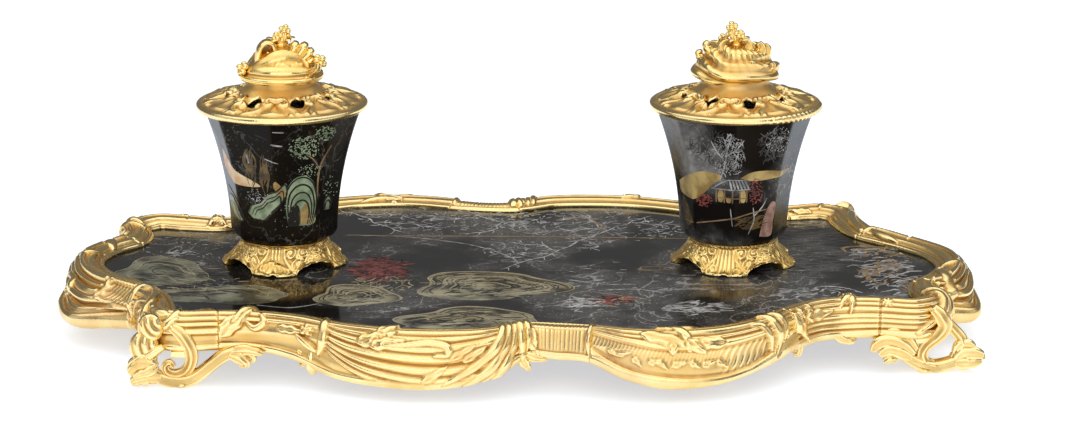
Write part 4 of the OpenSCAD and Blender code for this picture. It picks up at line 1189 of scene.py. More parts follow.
# Middle, width, hand and first angle of each small scroll, and the lines of the stems
BASE_VOLUTES = [((6.4, 6.2), 5.6, 1, 200), ((12.2, 6.4), 5.2, -1, 120), ((9.6, 11.2), 5.4, -1, 20),
                ((15.4, 10.8), 4.6, 1, 160), ((5.2, 13.2), 4.2, 1, 60)]
BASE_STEMS = [[(3.4, 3.4), (4, 8), (6.4, 11), (10, 14.4)], [(8.8, 3), (10.4, 4.6), (9.2, 8), (11.6, 9.6)],
              [(13.4, 3.2), (16, 5), (17.4, 8.4)], [(12.8, 12.8), (14.6, 14.4), (17, 14.6)]]
BASE_MARKS = [(leaf, (17, 17), -112, 13, 6, 0.8, 3, 2), (leaf, (20, 15), -100, 12, 5, 0.7, 3, -2),
              *[(volute, at, wide, 0.8, 1.75, turn, begin) for at, wide, turn, begin in BASE_VOLUTES],
              *[(ridge, line, 1.2, 0.7, 0.6) for line in BASE_STEMS],
              (leaf, (11.6, 16.6), -40, 7, 3.4, 0.8, 2, 1), (leaf, (7, 17), -72, 4.4, 3, 0.7, 2)]
INK_FOOT = [(leaf, (0.4, 10), 58, 8.6, 4.4, 1.2, 3, -1.6), (leaf, (3.4, 10.6), 74, 6.4, 3.2, 1.0, 2),
            (ridge, [(1.4, 17), (4.6, 15.2), (8.4, 15.8)], 2.2, 0.9, 0.6)]


def base_marks(pot, side, fall):
    """Heights on the ring: side is the distance in mm from the middle of a foot, fall goes from 0 to 1."""
    y = 18 * fall
    near = np.abs(side)
    out = over(-0.15 * window(y, 3, 17, 2), bead(y, 1.2, 2.2, 0.4))
    if pot == "sand":
        fan = np.abs(np.cos(math.pi * side / (1.1 + 1.0 * fall)))
        out = over(out, 0.7 * fan * window(y, 5.4, 17, 2) * window(near, -1, 3 + 6 * fall, 1.6),
                   0.6 * np.abs(np.cos(math.pi * side / 1.9)) * window(y, 2.8, 4.8, 0.8))
    else:
        flutes = 0.5 * np.abs(np.cos(math.pi * side / 1.5))
        out = over(out, flutes * window(y, 3.4, 9.4, 1) * window(near, -1, 2.6, 1))
    for hand, shift in ((-1, 0.0), (1, 0.9)):
        out = chased(out, hand * side, y - shift, BASE_MARKS + (INK_FOOT if pot == "ink" else []))
    return out


def spun(points, angle):
    """Radius and height of a drawn line, the same at every angle."""
    r, z = np.array(points, float).T
    return r + 0 * angle, z + 0 * angle


def base_table(pot, around=480, rows=72):
    """Ring with its chased face, arches, scalloped edge and hollow underside."""
    angle = circle(around + 1)[:, None]
    line = curve_points(BASE_LINE, rows)
    r, z = line[:, 0] + 0 * angle, line[:, 1] * BASE_H + 0 * angle
    swing = np.cos(4 * (angle + math.pi / 2))
    low = np.clip(1 - z / (0.7 * BASE_H), 0, 1)
    lift = ARCH * BASE_H * np.sqrt(np.clip(-swing, 0, 1)) * low
    r = r * (1 + 0.06 * low * swing)
    fall = np.linspace(0, 1, rows) + 0 * angle
    foot_angle = np.mod(angle + math.pi / 4, math.pi / 2) - math.pi / 4
    side = foot_angle * r
    edge_waves = 0.7 * np.abs(np.cos(math.pi * side / 4.2)) * low**2
    height = base_marks(pot, side, fall)
    r = r + height * BASE_RELIEF * window(fall, 0.05, 0.97, 0.06)
    notch = 1.1 * np.exp(-((side / 1.5) ** 2)) * ease(fall, 0.75, 1)
    z = z + lift + notch + edge_waves * ease(fall, 0.7, 1) * (z + lift > 0.9)
    back_r, back_z = spun(BASE_BACK, angle)
    back_z = BASE_H * back_z
    back_low = np.clip(1 - back_z / (0.7 * BASE_H), 0, 1)
    back_z = back_z + ARCH * BASE_H * np.sqrt(np.clip(-swing, 0, 1)) * back_low
    r = np.concatenate([r, back_r, r[:, :1]], 1)
    z = np.concatenate([z, back_z, z[:, :1]], 1)
    return turned(r, z, angle + BASE_TURN[pot])


for pot in POTS:
    piece = skin(pot + "_base_cast", at_pot(base_table(pot), pot, PANEL_TOP))
    shade_by_recess(piece, 4)
    place(piece, gilt_warm, "gilt", nodes=[pot + "_base"])
    print(pot, "base faces:", len(piece.data.polygons))

# %% [markdown]
# The collars lie over the mouths. They are domes with a smooth edge bead, pierced between leaves and
# scrolls, and they end in a plain bright neck that the cap sits in. The holes are cut with a boolean.

# %% Collars
COLLAR_LINE = np.array([[35.9, -2.0], [36.9, -1.7], [37.4, -0.5], [37.0, 0.7], [35.4, 1.3], [33.2, 1.6],
                        [29.6, 2.1], [25.8, 2.9], [22.2, 4.0], [19.2, 5.3], [16.8, 6.9], [15.1, 8.8],
                        [14.5, 10.6], [14.7, 11.8], [14.9, 12.4], [14.5, 13.0]])
COLLAR_BACK = [(12.5, 13.0), (12.5, 7.0), (11.0, 7.0), (11.0, 5.5), (19.5, 3.4), (22.5, 1.6), (26.4, 0.2),
               (26.43, -3.9), (28.43, -3.9), (28.43, 0.0), (35.9, 0.0)]
# Angles of the openings and of the palmettes between them
HOLES = {"ink": [-172, -119, -67, -30, 12, 58, 103, 148], "sand": [-165, -121, -78, -38, 5, 52, 98, 146]}
MOTIFS = {"ink": [-146, -93, -48, -9, 35, 80, 126, 170], "sand": [-143, -100, -58, -16, 28, 75, 122, 171]}
DOME_R, PALM_FOOT, HOLE_R, HOLE_SPAN = 26, 17, 21.2, (-4, 16)
COLLAR_SCROLLS = [
    (ridge, [(8.8, 1), (8.4, 5), (6.2, 9), (5.4, 13)], 2.8, 1.2, 0.5),
    (ridge, [(-10.4, 1.4), (-7.6, 3.4), (-5.6, 7.4), (-5.8, 11.4), (-8, 12), (-8.4, 9.6)], 2.8, 1.3, 0.5),
    (ridge, [(0.8, 16.8), (4.4, 16.6), (6, 13), (3.8, 10.8), (2.2, 12.8), (3.8, 13.8)], 2.5, 1.5, 0.7),
    (ridge, [(-0.8, 16.8), (-4, 16.6), (-5.4, 13.4), (-3.4, 11.2), (-2, 13), (-3.4, 14)], 2.4, 1.4, 0.7)]
# The part of the sand collar's edge that is a rope
ROPE = np.radians([290, 357])


def collar_marks(pot, angle, reach):
    """Heights on the dome: reach is the distance in mm from the edge bead up to the neck."""
    out = -0.6 * window(reach, 2.4, 16, 3) + 0 * angle
    for k, spot in enumerate(MOTIFS[pot]):
        side = (np.mod(angle - math.radians(spot) + math.pi, 2 * math.pi) - math.pi) * DOME_R
        side = side if k % 2 else -side
        far, turn = np.hypot(side, PALM_FOOT - reach), np.arctan2(side, PALM_FOOT - reach)
        palm = (0.65 + 0.35 * np.cos(9 * turn)) * bead(far, 9, 13, 1.3)
        palm = palm * window(np.abs(turn), -1, 0.66, 0.3)
        fronds = np.abs(np.cos(math.pi * (side + 0.35 * reach) / 2.3))
        out = over(out, 0.7 * fronds * window(reach, 1, 7, 2) * window(np.abs(side), 5.4, 11, 1.4), palm)
        out = chased(out, side, reach, COLLAR_SCROLLS)
    return out


def collar_table(pot, around=320, rows=74):
    """Dome with its chased face, neck, bore and the spigot that drops into the mouth."""
    angle = circle(around + 1)[:, None]
    line = curve_points(COLLAR_LINE, rows)
    run = np.concatenate([[0], np.cumsum(np.linalg.norm(np.diff(line, axis=0), axis=1))])
    way = unit(np.gradient(line, axis=0))
    reach = run - run[np.argmin(np.abs(line[:, 1] - 1.3))]
    height = collar_marks(pot, angle + 0 * reach, reach + 0 * angle) * window(reach, 1.2, 17.5, 2)
    if pot == "sand":
        strand = 0.45 * np.abs(np.cos(42 * angle + 0.6 * reach)) * window(angle, ROPE[0], ROPE[1], 0.1)
        height = height + strand * window(reach, -5, -0.6, 1)
    r, z = line[:, 0] + way[:, 1] * height, line[:, 1] - way[:, 0] * height
    back_r, back_z = spun(COLLAR_BACK, angle)
    r = np.concatenate([r, back_r, r[:, :1]], 1)
    z = np.concatenate([z, back_z, z[:, :1]], 1)
    return turned(r, z, angle)


def hole_cutter(pot):
    """Upright prisms, one for each opening, joined into one cutter."""
    parts = []
    turn = circle(21)
    for k, spot in enumerate(HOLES[pot]):
        a = math.radians(spot)
        long, wide = (3.7, 2.9) if k % 2 else (3.3, 3.3)
        u = HOLE_R + long * np.cos(turn)
        v = wide * np.sin(turn) * (1 + 0.3 * np.cos(turn)) + 0.4 * np.cos(3 * turn + k)
        x, y = u * math.cos(a) - v * math.sin(a), u * math.sin(a) + v * math.cos(a)
        prism = np.array([np.stack([x, y, z + 0 * x], -1) for z in HOLE_SPAN])
        parts.append(skin("hole", at_pot(prism, pot, MOUTH_Z)))
    return joined(pot + "_hole_cutter", parts)


for pot in POTS:
    cutter = hole_cutter(pot)
    piece = skin(pot + "_collar_cast", at_pot(collar_table(pot), pot, MOUTH_Z))
    cut = piece.modifiers.new("holes", "BOOLEAN")
    cut.operation, cut.object, cut.solver = "DIFFERENCE", cutter, "EXACT"
    bpy.ops.object.modifier_apply(modifier="holes")
    bpy.data.objects.remove(cutter)
    shade_by_recess(piece)
    place(piece, gilt, "gilt", pot + "_collar_body", nodes=[pot + "_collar"])
    print(pot, "collar faces:", len(piece.data.polygons))

# %% [markdown]
# The caps are small heaps of rocaille. The ink cap is a smooth wave with a scroll at one side and a
# shell at the other, and sprigs stuck on it. The sand cap is wound up in twisted folds. Each has a
# hollow spigot that drops into the neck.

# %% Caps and finials
SPIGOT = [(12.2, 0.0), (12.2, -4.0), (10.2, -4.0), (10.2, 4.5), (0.3, 4.6)]
INK_LINE = np.array([[12.2, 0], [15.3, 0.05], [15.5, -1.8], [16.6, -2.3], [18.0, -1.7], [18.2, -0.5],
                     [17.2, 0.7], [16.2, 1.6], [15.4, 2.8], [14.0, 4.8], [12.2, 6.8], [10.4, 8.6],
                     [8.8, 10.4], [6.6, 11.8], [4.0, 12.7], [0.3, 13.0]])
SAND_LINE = np.array([[12.2, 0], [15.3, 0.05], [15.5, -0.6], [16.6, -0.8], [17.8, 0.4], [18.0, 2.2],
                      [17.0, 4.0], [14.8, 5.4], [12.8, 7.0], [11.4, 9.0], [9.4, 11.0], [6.0, 12.6],
                      [0.3, 13.2]])
# Chasing on the ink cap
INK_CAP = [
    (ridge, [(-26, 13.4), (-12, 11), (4, 10.6), (18, 12), (28, 14)], 3.4, 1.1, 0.6),
    (ridge, [(-24, 15.4), (-6, 15.2), (10, 15.6), (26, 15.4)], 2.0, 0.6),
    (ridge, [(-14, 10), (-6, 6.4), (4, 5), (14, 6.4)], 4.4, 1.2, 0.5), (leaf, (-2, 8.6), 6, 8, 3.2, 0.6, 3),
    (leaf, (5, 9.4), -6, 8, 3.0, 0.6, 3), (ridge, [(10, 15), (14, 11), (15, 6), (12, 1)], 4, 0.9),
    (leaf, (44, 16), -150, 20, 10, 1.4, 3), (leaf, (-36, 16), -40, 18, 9, 1.4, 4),
    (leaf, (22, 15), -60, 10, 6, 0.9, 3)]


def cap_table(pot, around=220, rows=80):
    """Hollow spigot and chased top of a cap."""
    angle = circle(around + 1)[:, None]
    line = curve_points(INK_LINE if pot == "ink" else SAND_LINE, rows)
    way = unit(np.gradient(line, axis=0))
    fall = np.linspace(0, 1, rows)
    if pot == "sand":
        sway = 0.9 * np.sin(3 * angle + 0.6) + 0.5 * np.sin(5 * angle - 1)
        folds = (0.5 + 0.5 * np.sin(3 * angle + 30 * fall + sway)) ** 0.7
        folds = folds * (0.75 + 0.25 * np.sin(angle * 2 + 1))
        ribs = np.abs(np.cos(13 * angle + 5 * fall))
        height = 2.0 * folds * window(fall, 0.1, 0.93, 0.1) + 0.25 * ribs * window(fall, 0.5, 0.97, 0.16)
    else:
        side = (np.mod(angle + math.pi / 2 + math.pi, 2 * math.pi) - math.pi) * 14
        y = 24 * (1 - fall) + 0 * angle
        side = side + 0 * y
        height = most(*[kind(side, y, *rest) for kind, *rest in INK_CAP])
    r, z = line[:, 0] + way[:, 1] * height, line[:, 1] - way[:, 0] * height
    back_r, back_z = spun(SPIGOT[::-1], angle)
    r, z = np.concatenate([back_r, r], 1), np.concatenate([back_z, z], 1)
    return turned(r, z, angle)


def berry(spot, size):
    """One round berry."""
    start()
    spot = [v * MM for v in spot]
    bpy.ops.mesh.primitive_uv_sphere_add(segments=16, ring_count=10, radius=size * MM, location=spot)
    piece = bpy.context.object
    bpy.ops.object.transform_apply(location=True, rotation=True, scale=True)
    bpy.ops.object.shade_smooth()
    return piece


def sprig(base, tip, size=1.3, many=5):
    """A short stem with a bunch of berries at its tip."""
    base, tip = np.array(base, float), np.array(tip, float)
    way = (tip - base) / np.linalg.norm(tip - base)
    side = np.cross(way, (0.3, 0.2, 1))
    side /= np.linalg.norm(side)
    other = np.cross(way, side)
    turn = circle(11)
    stem = np.array([[base + (tip - base) * k + r * (side * math.cos(a) + other * math.sin(a))
                      for a in turn] for k, r in ((0, 0.9), (0.5, 0.8), (1, 0.7))])
    parts = [skin("stem", stem), berry(tip + 0.9 * size * way, 0.85 * size)]
    for k in range(many):
        a = 2 * math.pi * k / many
        parts.append(berry(tip + 1.15 * size * (side * math.cos(a) + other * math.sin(a)), 0.8 * size))
    return parts


def lobe(points, plane_turn, ribs, lobes=0, depth=0.3):
    """A scroll in an upright plane through the cap's axis, turned about it."""
    table = tube(points, ribs, lobes, 24, 40, depth)
    a = math.radians(plane_turn)
    x, y = table[..., 0], table[..., 1]
    return np.stack([x * math.cos(a) - y * math.sin(a), x * math.sin(a) + y * math.cos(a), table[..., 2]],
                    -1)


# Scrolls stuck on the caps: rows for a tube, then the turn of its plane, its ribs, lobes and depth
CAP_LOBES = {
    "ink": [
        ([(-10.6, 4.6, 1.2, 3, -3), (-10, 8.4, 1.5, 3.6, -3.4), (-9.2, 12.2, 1.5, 3.8, -3.6),
          (-6.8, 14.6, 1.4, 3.6, -3.6),
          (-4, 14, 1.3, 3.2, -3.6), (-3, 11.4, 1.1, 2.8, -4), (-4.6, 9.6, 1, 2.4, -4.4),
          (-6.2, 10.8, 0.8, 2, -4.6)], 6, 0),
        ([(4.6, 7, 1.4, 2.4, -4), (5.4, 10.6, 1.8, 2.8, -4), (6.4, 13.4, 2, 3, -3.6),
          (6.8, 14.8, 1.2, 2, -3)], 0, 0),
        ([(6, 6.4, 1.4, 2.4, -4), (8.4, 10, 1.9, 2.8, -4), (10.4, 13, 2, 3, -3.6), (11, 14.2, 1.2, 2, -3)],
         0, 0),
        ([(7, 5.4, 1.4, 2.4, -4), (10.4, 8, 1.9, 2.8, -4), (13, 10.4, 2, 3, -3.6), (14, 11.4, 1.2, 2, -3)],
         0, 0),
        ([(8, 4.4, 1.4, 2.4, -4), (11.6, 5.8, 1.7, 2.6, -4), (14, 7.2, 1.6, 2.6, -3.6),
          (14.8, 7.8, 0.9, 1.6, -3)], 0, 0),
        ([(12, 2.6, 1.4, 4), (16.4, 3, 1.4, 4.4), (19, 4.6, 1.1, 3.2), (19.2, 6.6, 0.7, 2)], -30, 3, 3),
    ],
    "sand": [
        ([(-12, 4, 1.4, 2.4), (-15.4, 6, 2, 2.8), (-16.6, 8, 1.6, 2.4), (-15.4, 9.2, 0.9, 1.6)], -16, 0),
        ([(-8, 8.4, 1.6, 2.4, -2), (-11.4, 10.6, 2.3, 2.8, -2), (-13, 12.8, 2, 2.6, -2),
          (-12, 14.6, 1.1, 1.6, -2)], 0, 0),
        ([(7, 7, 1.6, 2.4, -4), (9.6, 9, 2.3, 2.8, -4), (10.8, 12, 2.1, 2.8, -3.6),
          (9.6, 14.2, 1.2, 2, -3)], 0, 3),
        ([(9, 6, 1.6, 2.4, -1), (12.4, 8.4, 2.2, 2.8, -1), (13.4, 11, 1.9, 2.6, -1),
          (12.2, 13, 1.1, 1.8, -1)], 0, 3),
        ([(12.6, 2.6, 1.4, 2.6), (16, 3, 1.9, 3), (18, 4.6, 1.6, 2.6), (17.2, 6.4, 0.9, 1.6)], -28, 2),
        ([(10.6, 4.8, 1.2, 2), (13, 6, 1.7, 2.4), (13.6, 8, 1.2, 1.8)], -62, 2),
        ([(4, 9.6, 1.4, 2.4, -5), (5.4, 12, 2, 3, -5), (4.6, 14.4, 1.6, 2.6, -4),
          (2.6, 15.4, 0.9, 1.6, -3)], 0, 4, 0, 0.3),
        ([(-5, 9.6, 1.4, 2.4, -5), (-6.4, 12, 1.9, 2.8, -5), (-5.4, 14.2, 1.5, 2.4, -4),
          (-3.4, 15, 0.9, 1.6, -3)], 0, 4, 0, 0.3),
        ([(11, 6, 1.4, 3), (13.4, 9, 1.9, 3.4), (12.4, 12, 1.5, 3), (9.6, 12.4, 1.1, 2.4)], 70, 3),
        ([(11, 6, 1.4, 3), (13.6, 8.6, 1.9, 3.4), (12.6, 11.6, 1.5, 3), (9.8, 12.2, 1.1, 2.4)], 140, 3),
    ],
}
# Foot, tip and size of the sprigs on the caps
CAP_SPRIGS = {"ink": [((-13, -5, 1.6), (-16.2, -6.4, 3.4), 1.8), ((14, -5, 3.4), (17.2, -6.4, 6.8), 1.8),
                      ((3, 12, 5), (4, 15.6, 8), 1.6)],
              "sand": [((-4, 9, 10), (-5, 11, 13.4), 1.3)]}


def extras(pot):
    """Scrolls and sprigs that are stuck on a cap."""
    parts = [skin("lobe", at_pot(lobe(*row), pot, NECK_TOP)) for row in CAP_LOBES[pot]]
    shift = np.array([*POTS[pot], NECK_TOP])
    for base, tip, size in CAP_SPRIGS[pot]:
        parts += sprig(shift + base, shift + tip, size)
    return parts


STUD = [(0.1, -5.2), (1.5, -5.2), (1.5, -1), (3.6, -0.4), (3.2, 0.8), (1.6, 1.8), (0.1, 2)]
FINIAL_H = {"ink": 6.2, "sand": 7.6}


def finial(pot):
    """Sprig on a stud that leans to one side, with leaves round its foot."""
    hand = 1 if pot == "ink" else -1
    shift = np.array([*POTS[pot], CAP_TOP])
    turn = circle(15)
    stud = np.array([[(r * math.cos(a), r * math.sin(a), z) for a in turn] for r, z in STUD])
    parts = [skin("stud", stud + shift)]
    high = FINIAL_H[pot]
    core = tube([(0, 0, 2.4, 2.4), (0.6 * hand, 0.4 * high, 2.2, 2.2), (1.2 * hand, 0.75 * high, 1.6, 1.6),
                 (1.6 * hand, high, 0.9, 0.9)], 3, 3)
    parts.append(skin("core", core + shift))
    parts += sprig(shift + (0, 0, 1), shift + (1.8 * hand, 0, high), 1.5)
    parts += sprig(shift + (0, -0.6, 0.6), shift + (-1.4 * hand, -2.0, 0.6 * high), 1.4)
    parts += sprig(shift + (0.4 * hand, 0.4, 0.8), shift + (2.2 * hand, 1.6, 0.6 * high), 1.4, 4)
    for k in range(5):
        a = 25 + 72 * k
        table = lobe([(0.6, 0.4, 0.4, 1), (3, 1.6, 0.5, 2), (5, 2.6, 0.5, 1.7), (6.6, 2.2, 0.35, 0.5)], a,
                     1, 3)
        parts.append(skin("leaf", table + shift))
    return joined(pot + "_finial_cast", parts)


for pot in POTS:
    piece = skin(pot + "_cap_cast", at_pot(cap_table(pot), pot, NECK_TOP))
    piece = joined(pot + "_cap_cast", [piece, *extras(pot)])
    shade_by_recess(piece)
    place(piece, gilt_warm, "gilt", pot + "_cap_body", nodes=[pot + "_cap"])
    top = finial(pot)
    shade_by_recess(top, 1)
    place(top, gilt_warm, "gilt", pot + "_cap_body", nodes=[pot + "_finial"])
    print(pot, "cap and finial faces:", len(piece.data.polygons), len(top.data.polygons))

# %% [markdown]
# The painted scenes. A lacquer painter lays thin coats over the black and lines them with a fine brush:
# rocks in bands, shrubs of dots, boughs, ripples and a small hall. A picture file could hold them, but a
# mark that is a film of its own stays sharp from near by and keeps the relief of real paint. Each mark is
# drawn flat as a small table of points, laid on the panel or wrapped on the front of a pot, and given the
# thickness of a coat. There are hundreds, so one mesh takes all marks of a paint in one go, without a
# primitive for each, and a Solidify modifier closes it. The scene is made up, as on many such pieces.


# %% Brush marks
# Thickness of a coat, the lowest coat's height, the step from layer to layer and from mark to mark
COAT, COAT_LOW, COAT_STEP, MARK_STEP = 0.08, 0.03, 0.03, 0.0015
MARK_LEVELS = 16
FRONT_FAN = np.radians(np.linspace(-172, -8, 500))
FRONT_REACH = octagon(FRONT_FAN) * np.cos(FRONT_FAN)


def on_panel(flat, lift):
    """The way that flat marks lie on the panel."""
    return np.concatenate([flat, np.full((*flat.shape[:-1], 1), PANEL_TOP + lift)], -1)


def on_pot(pot):
    """The way that flat marks wrap on a pot: x across from its axis and z up from the table."""
    def lay(flat, lift):
        radius = pot_corner(flat[..., 1] - POT_Z) + lift
        angle = np.interp(flat[..., 0] / radius, FRONT_REACH, FRONT_FAN)
        far = radius * octagon(angle)
        return np.stack([far * np.cos(angle), far * np.sin(angle), flat[..., 1]], -1) + [*POTS[pot], 0]
    return lay


def dab(outline, rings=6, fine=5):
    """A patch of paint: rings from the middle of a smooth outline to its edge."""
    line = curve_points([*outline, outline[0]], fine * len(outline) + 1)
    middle = line[:-1].mean(0)
    share = np.linspace(0, 1, rings + 1)[:, None, None]
    return middle + share * (line - middle)


def stroke(points, wide, fine=6):
    """A brush line that thins to its ends, with so many steps for each of its points."""
    line = curve_points(points, fine * len(points))
    way = unit(np.gradient(line, axis=0))
    half = 0.5 * wide * (0.3 + 0.7 * np.sin(math.pi * np.linspace(0, 1, len(line))) ** 0.5)[:, None]
    side = np.stack([-way[:, 1], way[:, 0]], -1) * half
    return np.stack([line - side, line + side], 1)


def strewn(chance, middle, half):
    """A chance spot in an oval."""
    angle, far = chance.uniform(0, 2 * math.pi), chance.uniform(0, 1) ** 0.6
    return np.array(middle) + far * np.array(half) * [math.cos(angle), math.sin(angle)]


def spray(seed, many, middle, half, size):
    """Round dots of about one size, strewn over an oval."""
    chance = np.random.default_rng(seed)
    turn = circle(7)
    ring = 0.5 * np.stack([np.cos(turn), np.sin(turn)], -1)
    tables = []
    for _ in range(many):
        spot = strewn(chance, middle, half)
        edge = spot + chance.uniform(0.7, 1.4) * size * ring
        tables.append(np.stack([spot + 0 * ring, edge]))
    return tables


def flecks(seed, many, middle, half, long, wide, lean=0.0, spread=0.5):
    """Short brush touches strewn over an oval, all leaning about one way."""
    chance = np.random.default_rng(seed)
    tables = []
    for _ in range(many):
        spot = strewn(chance, middle, half)
        turn = lean + chance.normal(0, spread)
        way = 0.5 * long * chance.uniform(0.4, 1.4) * np.array([math.cos(turn), math.sin(turn)])
        bow = chance.uniform(-0.4, 0.4) * np.array([-way[1], way[0]])
        tables.append(stroke([spot - way, spot + bow, spot + way], wide * chance.uniform(0.5, 1.4), 2))
    return tables


def branch(seed, points, wide):
    """A bough with an unsteady line and small twigs."""
    chance = np.random.default_rng(seed)
    line = curve_points(points, 3 * len(points))
    line[1:-1] += chance.normal(0, 0.9, line[1:-1].shape)
    tables = [stroke(line, wide, 3)]
    for a, b in zip(line[1:-1], line[2:]):
        turn = math.atan2(*(b - a)[::-1]) + chance.choice([-1, 1]) * chance.uniform(0.5, 1.1)
        tip = a + chance.uniform(3, 9) * np.array([math.cos(turn), math.sin(turn)])
        tables.append(stroke([a, 0.5 * (a + tip) + chance.normal(0, 0.6, 2), tip], 0.6 * wide, 3))
    return tables


def agate(seed, rock, many, wide, first, last):
    """Uneven lines that nest in a rock like the bands of a cut agate."""
    chance = np.random.default_rng(seed)
    tables = []
    for share in np.linspace(0.16, 0.93, many) + chance.uniform(-0.04, 0.04, many):
        a, b = first + chance.uniform(-30, 30), last + chance.uniform(-30, 30)
        line = rock_edge(rock, share, a, b, 17)
        wave = chance.normal(0, 0.7, line.shape)
        wave = (wave[:-2] + wave[1:-1] + wave[2:]) / 3
        line[1:-1] += wave * share
        tables.append(stroke(line, wide * chance.uniform(0.5, 1.5), 3))
    return tables


def rock_edge(rock, share=1.0, first=0, last=360, many=15):
    """Points on the lumpy edge of a rock, or on a band inside it."""
    (x, y), (half_x, half_y), phase = rock
    a = np.radians(np.linspace(first, last, many))
    lump = share * (1 + 0.13 * np.cos(3 * a + phase) + 0.07 * np.cos(5 * a + 2 * phase))
    return np.stack([x + half_x * lump * np.cos(a), y + half_y * lump * np.sin(a)], -1)


def tables_of(rows):
    """Tables of all marks in rows, each a kind of mark and a list of what it takes each time."""
    tables = []
    for kind, each in rows:
        for values in each:
            made = kind(*values)
            tables += made if isinstance(made, list) else [made]
    return tables


def film(name, lay, look, marks, layer):
    """All marks of one paint as one thin film on the lacquer."""
    spots, faces, many = [], [], 0
    for k, table in enumerate(tables_of(marks)):
        rows, columns = table.shape[:2]
        number = many + np.arange(rows * columns).reshape(rows, columns)
        corners = (number[:-1, :-1], number[:-1, 1:], number[1:, 1:], number[1:, :-1])
        faces += np.stack(corners, -1).reshape(-1, 4).tolist()
        lift = COAT_LOW + COAT_STEP * layer + MARK_STEP * (k % MARK_LEVELS)
        spots.append(lay(table, lift).reshape(-1, 3) * MM)
        many += rows * columns
    mesh = bpy.data.meshes.new(name)
    mesh.from_pydata(np.concatenate(spots).tolist(), [], faces)
    piece = bpy.data.objects.new(name, mesh)
    scene.collection.objects.link(piece)
    start()
    piece.select_set(True)
    bpy.context.view_layer.objects.active = piece
    bpy.ops.object.mode_set(mode="EDIT")
    bpy.ops.mesh.select_all(action="SELECT")
    bpy.ops.mesh.remove_doubles(threshold=MERGE)
    bpy.ops.mesh.dissolve_degenerate(threshold=MERGE)
    bpy.ops.mesh.normals_make_consistent(inside=False)
    bpy.ops.object.mode_set(mode="OBJECT")
    coat = piece.modifiers.new("coat", "SOLIDIFY")
    coat.thickness, coat.offset = COAT * MM, 0
    bpy.ops.object.modifier_apply(modifier="coat")
    place(piece, look, "lacquer")


print("brush marks ready, thickness of a coat in mm:", COAT)

# %% [markdown]
# The painter's colours are pigments in varnish: dull greens and browns, a worn red, straw and silver.
# Each has a darker and a lighter tone, because a thin coat lets the black through in patches.

# %% Paints for the scenes
# Darker tone, lighter tone, scale of the patches and roughness
PAINTS = {
    "moss": ((0.045, 0.044, 0.036), (0.42, 0.38, 0.25), 75.0, 0.36),
    "straw": ((0.3, 0.26, 0.16), (0.44, 0.38, 0.24), 220.0, 0.42),
    "ink": ((0.008, 0.007, 0.006), (0.02, 0.017, 0.014), 300.0, 0.35),
    "silver": ((0.2, 0.2, 0.195), (0.6, 0.59, 0.57), 260.0, 0.45),
    "red": ((0.13, 0.034, 0.028), (0.32, 0.076, 0.06), 200.0, 0.45),
    "earth": ((0.2, 0.12, 0.06), (0.36, 0.24, 0.12), 200.0, 0.45),
    "jade": ((0.2, 0.27, 0.15), (0.4, 0.48, 0.3), 240.0, 0.42),
    "cream": ((0.62, 0.3, 0.1), (0.85, 0.68, 0.42), 90.0, 0.4),
    "ochre": ((0.32, 0.2, 0.06), (0.62, 0.46, 0.18), 150.0, 0.4),
    "rose": ((0.26, 0.13, 0.09), (0.5, 0.32, 0.25), 260.0, 0.45),
    "umber": ((0.04, 0.024, 0.006), (0.16, 0.1, 0.03), 160.0, 0.3),
    "dim": ((0.02, 0.02, 0.02), (0.13, 0.125, 0.12), 90.0, 0.4),
    # Dim green-grey of the faint rocks at the left, which also paints the sheen of a reflection there
    "rock_sheen": ((0.03, 0.03, 0.022), (0.27, 0.262, 0.175), 75.0, 0.3),
    "red_dim": ((0.06, 0.016, 0.014), (0.2, 0.045, 0.036), 160.0, 0.45),
}
paint = {name: painted("paint_" + name, *look) for name, look in PAINTS.items()}
print("paints:", len(paint))

# %% [markdown]
# The panel shows a rocky shore: banded rocks in front, boughs behind them, red shrubs, ripples at the right
# and paint worn down to silvery touches. Broad patches come first and fine lines last, as a painter works,
# and each later layer lies a little higher.


# %% Scene on the panel
def ripple(left, right, y, phase):
    """Points of one small wavy line."""
    x = np.arange(left, right, 4.0)
    return np.stack([x, y + 0.9 * np.sin(0.42 * x + phase)], -1)


ROCKS = [((-13, -33), (31, 22), 0.4), ((-20, -83), (29, 16), 2.0), ((-69, -48), (17, 16), 0.9)]
# The dim rocks are faint rocks painted with a greenish-grey sheen: partly rock, partly a painted
# reflection.
DIM_ROCKS = [((-156, -12), (20, 24), 1.2), ((-127, -47), (31, 13), 3.0)]
BARE_ROCKS = [((162, -14), (12, 20), 2.4), ((156, 22), (14, 10), 0.2), ((134, -42), (12, 8), 1.1)]
BOUGHS = [[(-88, 101), (-74, 86), (-62, 68), (-50, 54)], [(-74, 86), (-62, 88), (-50, 84)],
          [(-66, 74), (-52, 72), (-40, 66)], [(61.6, 85.5), (52, 74), (40, 60), (28, 42), (17, 23.6),
                                              (4, 8), (-8, -6.6)], [(52, 74), (64, 70), (76, 72)],
          [(17, 78), (26, 82), (33, 79), (40, 60)], [(40, 60), (30, 62), (20, 58)],
          [(28, 42), (34, 34), (32, 26)], [(17, 23.6), (10, 34), (-2, 36)],
          [(-30, 98), (-18, 84), (-8, 74), (4, 66)], [(-18, 84), (-30, 80), (-44, 78)],
          [(-8, 74), (-12, 60), (-24, 52)]]
SHORES = [[(-78, 52), (-56, 49), (-40, 44), (-20, 33), (-4, 14), (0, 2)],
          [(-110, -62), (-96, -66), (-84, -60)], [(20, -22), (36, -30), (50, -30)],
          [(34, -40), (50, -38), (62, -44)]]
CRACK = [(-80, 50), (-40, 49.5), (0, 48.5), (40, 47), (77, 45)]
RIPPLES = [ripple(118 - 0.3 * abs(y - 40), 140 + 0.22 * (60 - abs(y - 30)), y, 0.9 * y)
           for y in range(-10, 86, 3)]
